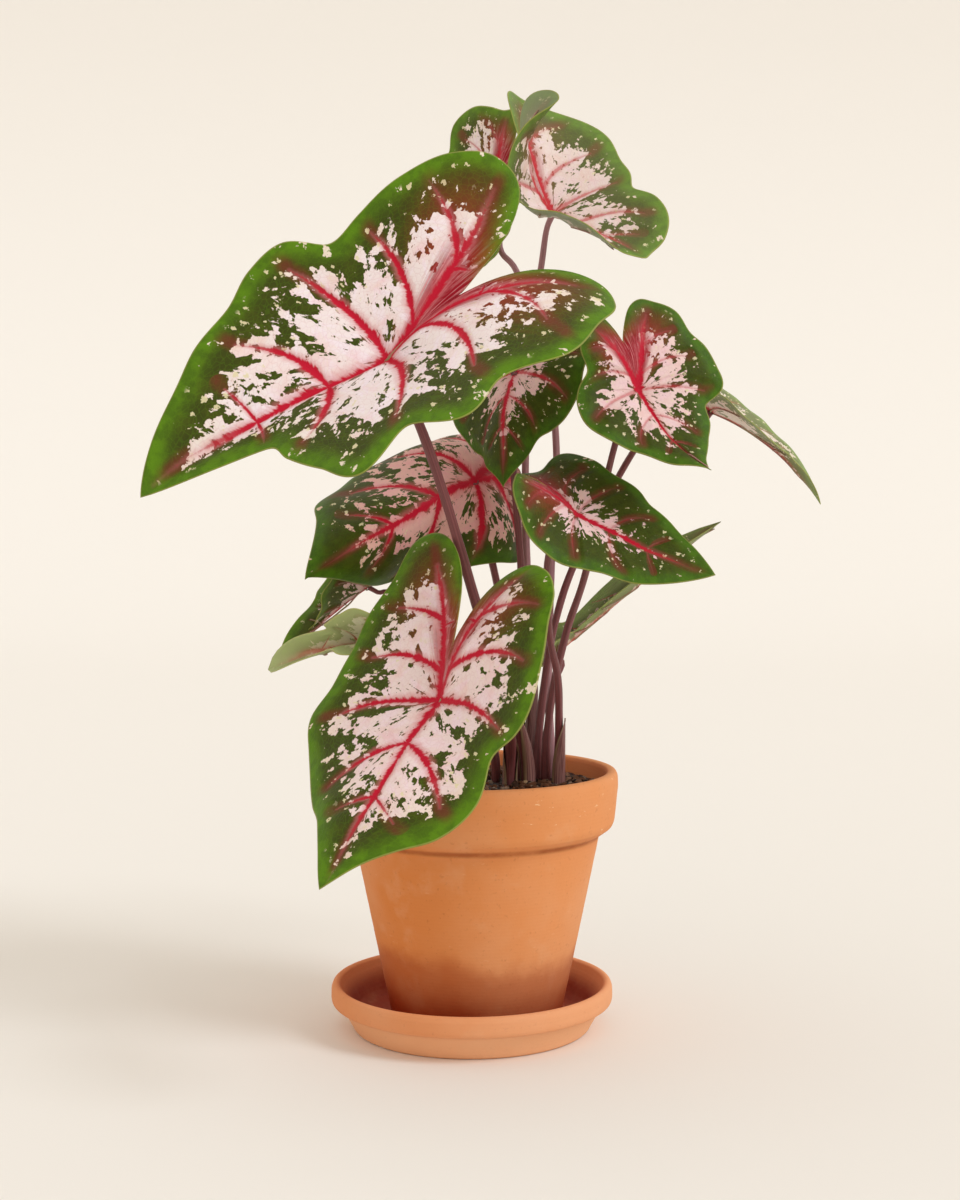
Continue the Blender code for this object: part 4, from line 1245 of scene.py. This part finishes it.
class CaladiumStage(bpy.types.PropertyGroup):
    floor: paint("Floor", "Floor and backdrop", tint(238, 233, 226))
    glow: size("Fill", "Brightness of the surroundings", 0.85, min=0.0, max=5.0)
    key: size("Key light", "Strength of the main light", 1.22, min=0.0, max=20.0)
    front: size("Front light", "Strength of the weak light from the viewer's side", 0.16, min=0.0, max=20.0)
    softness: size("Softness", "Angle that the main light spans", math.radians(22), subtype="ANGLE")
    lens: size("Lens", "Focal length in mm on a 36 mm long side", 55.5, min=10.0, max=300.0)
    down: size("Down", "How far the camera looks down", math.radians(3.42), subtype="ANGLE")
    eye: bpy.props.FloatVectorProperty(name="Eye", description="Where the camera stands", size=3,
                                       default=(0.0046, -1.010, 0.296), subtype="TRANSLATION", unit="LENGTH")


class CALADIUM_OT_blades(bpy.types.Operator):
    """Build the leaf blades and the ribs under them"""
    bl_idname = "caladium.blades"
    bl_label = "Leaf blades"

    def execute(self, context):
        for number in LEAVES:
            make_blade(number, context.scene.caladium_leaves)
            make_ribs(number, context.scene.caladium_leaves)
        return {"FINISHED"}


class CALADIUM_OT_stalks(bpy.types.Operator):
    """Build the stalks and the sheaths at their bases"""
    bl_idname = "caladium.stalks"
    bl_label = "Leaf stalks"

    def execute(self, context):
        for number in LEAVES:
            make_stalk(number, context.scene.caladium_leaves)
        for number, tall, off, opening in SHEATHS:
            make_sheath(number, tall, off, opening)
        return {"FINISHED"}


class CALADIUM_OT_clay(bpy.types.Operator):
    """Build the pot and its saucer"""
    bl_idname = "caladium.clay"
    bl_label = "Pot and saucer"

    def execute(self, context):
        make_saucer(context.scene.caladium_pot)
        make_pot(context.scene.caladium_pot)
        return {"FINISHED"}


class CALADIUM_OT_soil(bpy.types.Operator):
    """Build the potting mix with its chips, and give the tuber its skin"""
    bl_idname = "caladium.soil"
    bl_label = "Soil and tuber"

    def execute(self, context):
        make_soil(context.scene.caladium_pot)
        make_chips(context.scene.caladium_pot)
        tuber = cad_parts["tuber"]
        tuber.data.materials.clear()
        tuber.data.materials.append(tuber_material())
        return {"FINISHED"}


class CALADIUM_OT_stage(bpy.types.Operator):
    """Set up the floor, the lights and the camera"""
    bl_idname = "caladium.stage"
    bl_label = "Stage"

    def execute(self, context):
        settings = context.scene.caladium_stage
        make_floor(settings)
        make_camera(settings)
        world = bpy.data.worlds.new("studio")
        world.use_nodes = True
        back = world.node_tree.nodes["Background"]
        back.inputs[0].default_value = (1.0, 0.944, 0.870, 1.0)
        back.inputs[1].default_value = settings.glow
        context.scene.world = world
        add_light("key", (2.0, -0.95, 1.85), settings.key, settings.softness, (0.84, 0.92, 1.0))
        add_light("front", (-0.5, -2.0, 0.45), settings.front, math.radians(50), (1.0, 0.98, 0.95))
        context.scene.view_settings.view_transform = "Standard"
        return {"FINISHED"}


class CALADIUM_PT_panel(bpy.types.Panel):
    """Lists the plant's pieces and settings"""
    bl_idname = "CALADIUM_PT_panel"
    bl_label = "Caladium"
    bl_space_type = "VIEW_3D"
    bl_region_type = "UI"
    bl_category = "Caladium"

    def draw(self, context):
        for group in ("caladium_leaves", "caladium_pot", "caladium_stage"):
            settings = getattr(context.scene, group)
            box = self.layout.box()
            for key in settings.__annotations__:
                box.prop(settings, key)
        for operator in OPERATORS:
            self.layout.operator(operator.bl_idname)


GROUPS = {"caladium_leaves": CaladiumLeaves, "caladium_pot": CaladiumPot, "caladium_stage": CaladiumStage}
OPERATORS = (CALADIUM_OT_clay, CALADIUM_OT_soil, CALADIUM_OT_stalks, CALADIUM_OT_blades, CALADIUM_OT_stage)


def register():
    for name, group in GROUPS.items():
        bpy.utils.register_class(group)
        setattr(bpy.types.Scene, name, bpy.props.PointerProperty(type=group))
    for kind in (*OPERATORS, CALADIUM_PT_panel):
        bpy.utils.register_class(kind)


def unregister():
    for kind in (CALADIUM_PT_panel, *reversed(OPERATORS)):
        bpy.utils.unregister_class(kind)
    for name, group in GROUPS.items():
        delattr(bpy.types.Scene, name)
        bpy.utils.unregister_class(group)


def main():
    """Builds every piece in order."""
    register()
    for operator in (bpy.ops.caladium.clay, bpy.ops.caladium.soil, bpy.ops.caladium.stalks,
                     bpy.ops.caladium.blades, bpy.ops.caladium.stage):
        if operator() != {"FINISHED"}:
            raise RuntimeError("a piece could not be built")


if __name__ == "__main__":
    main()
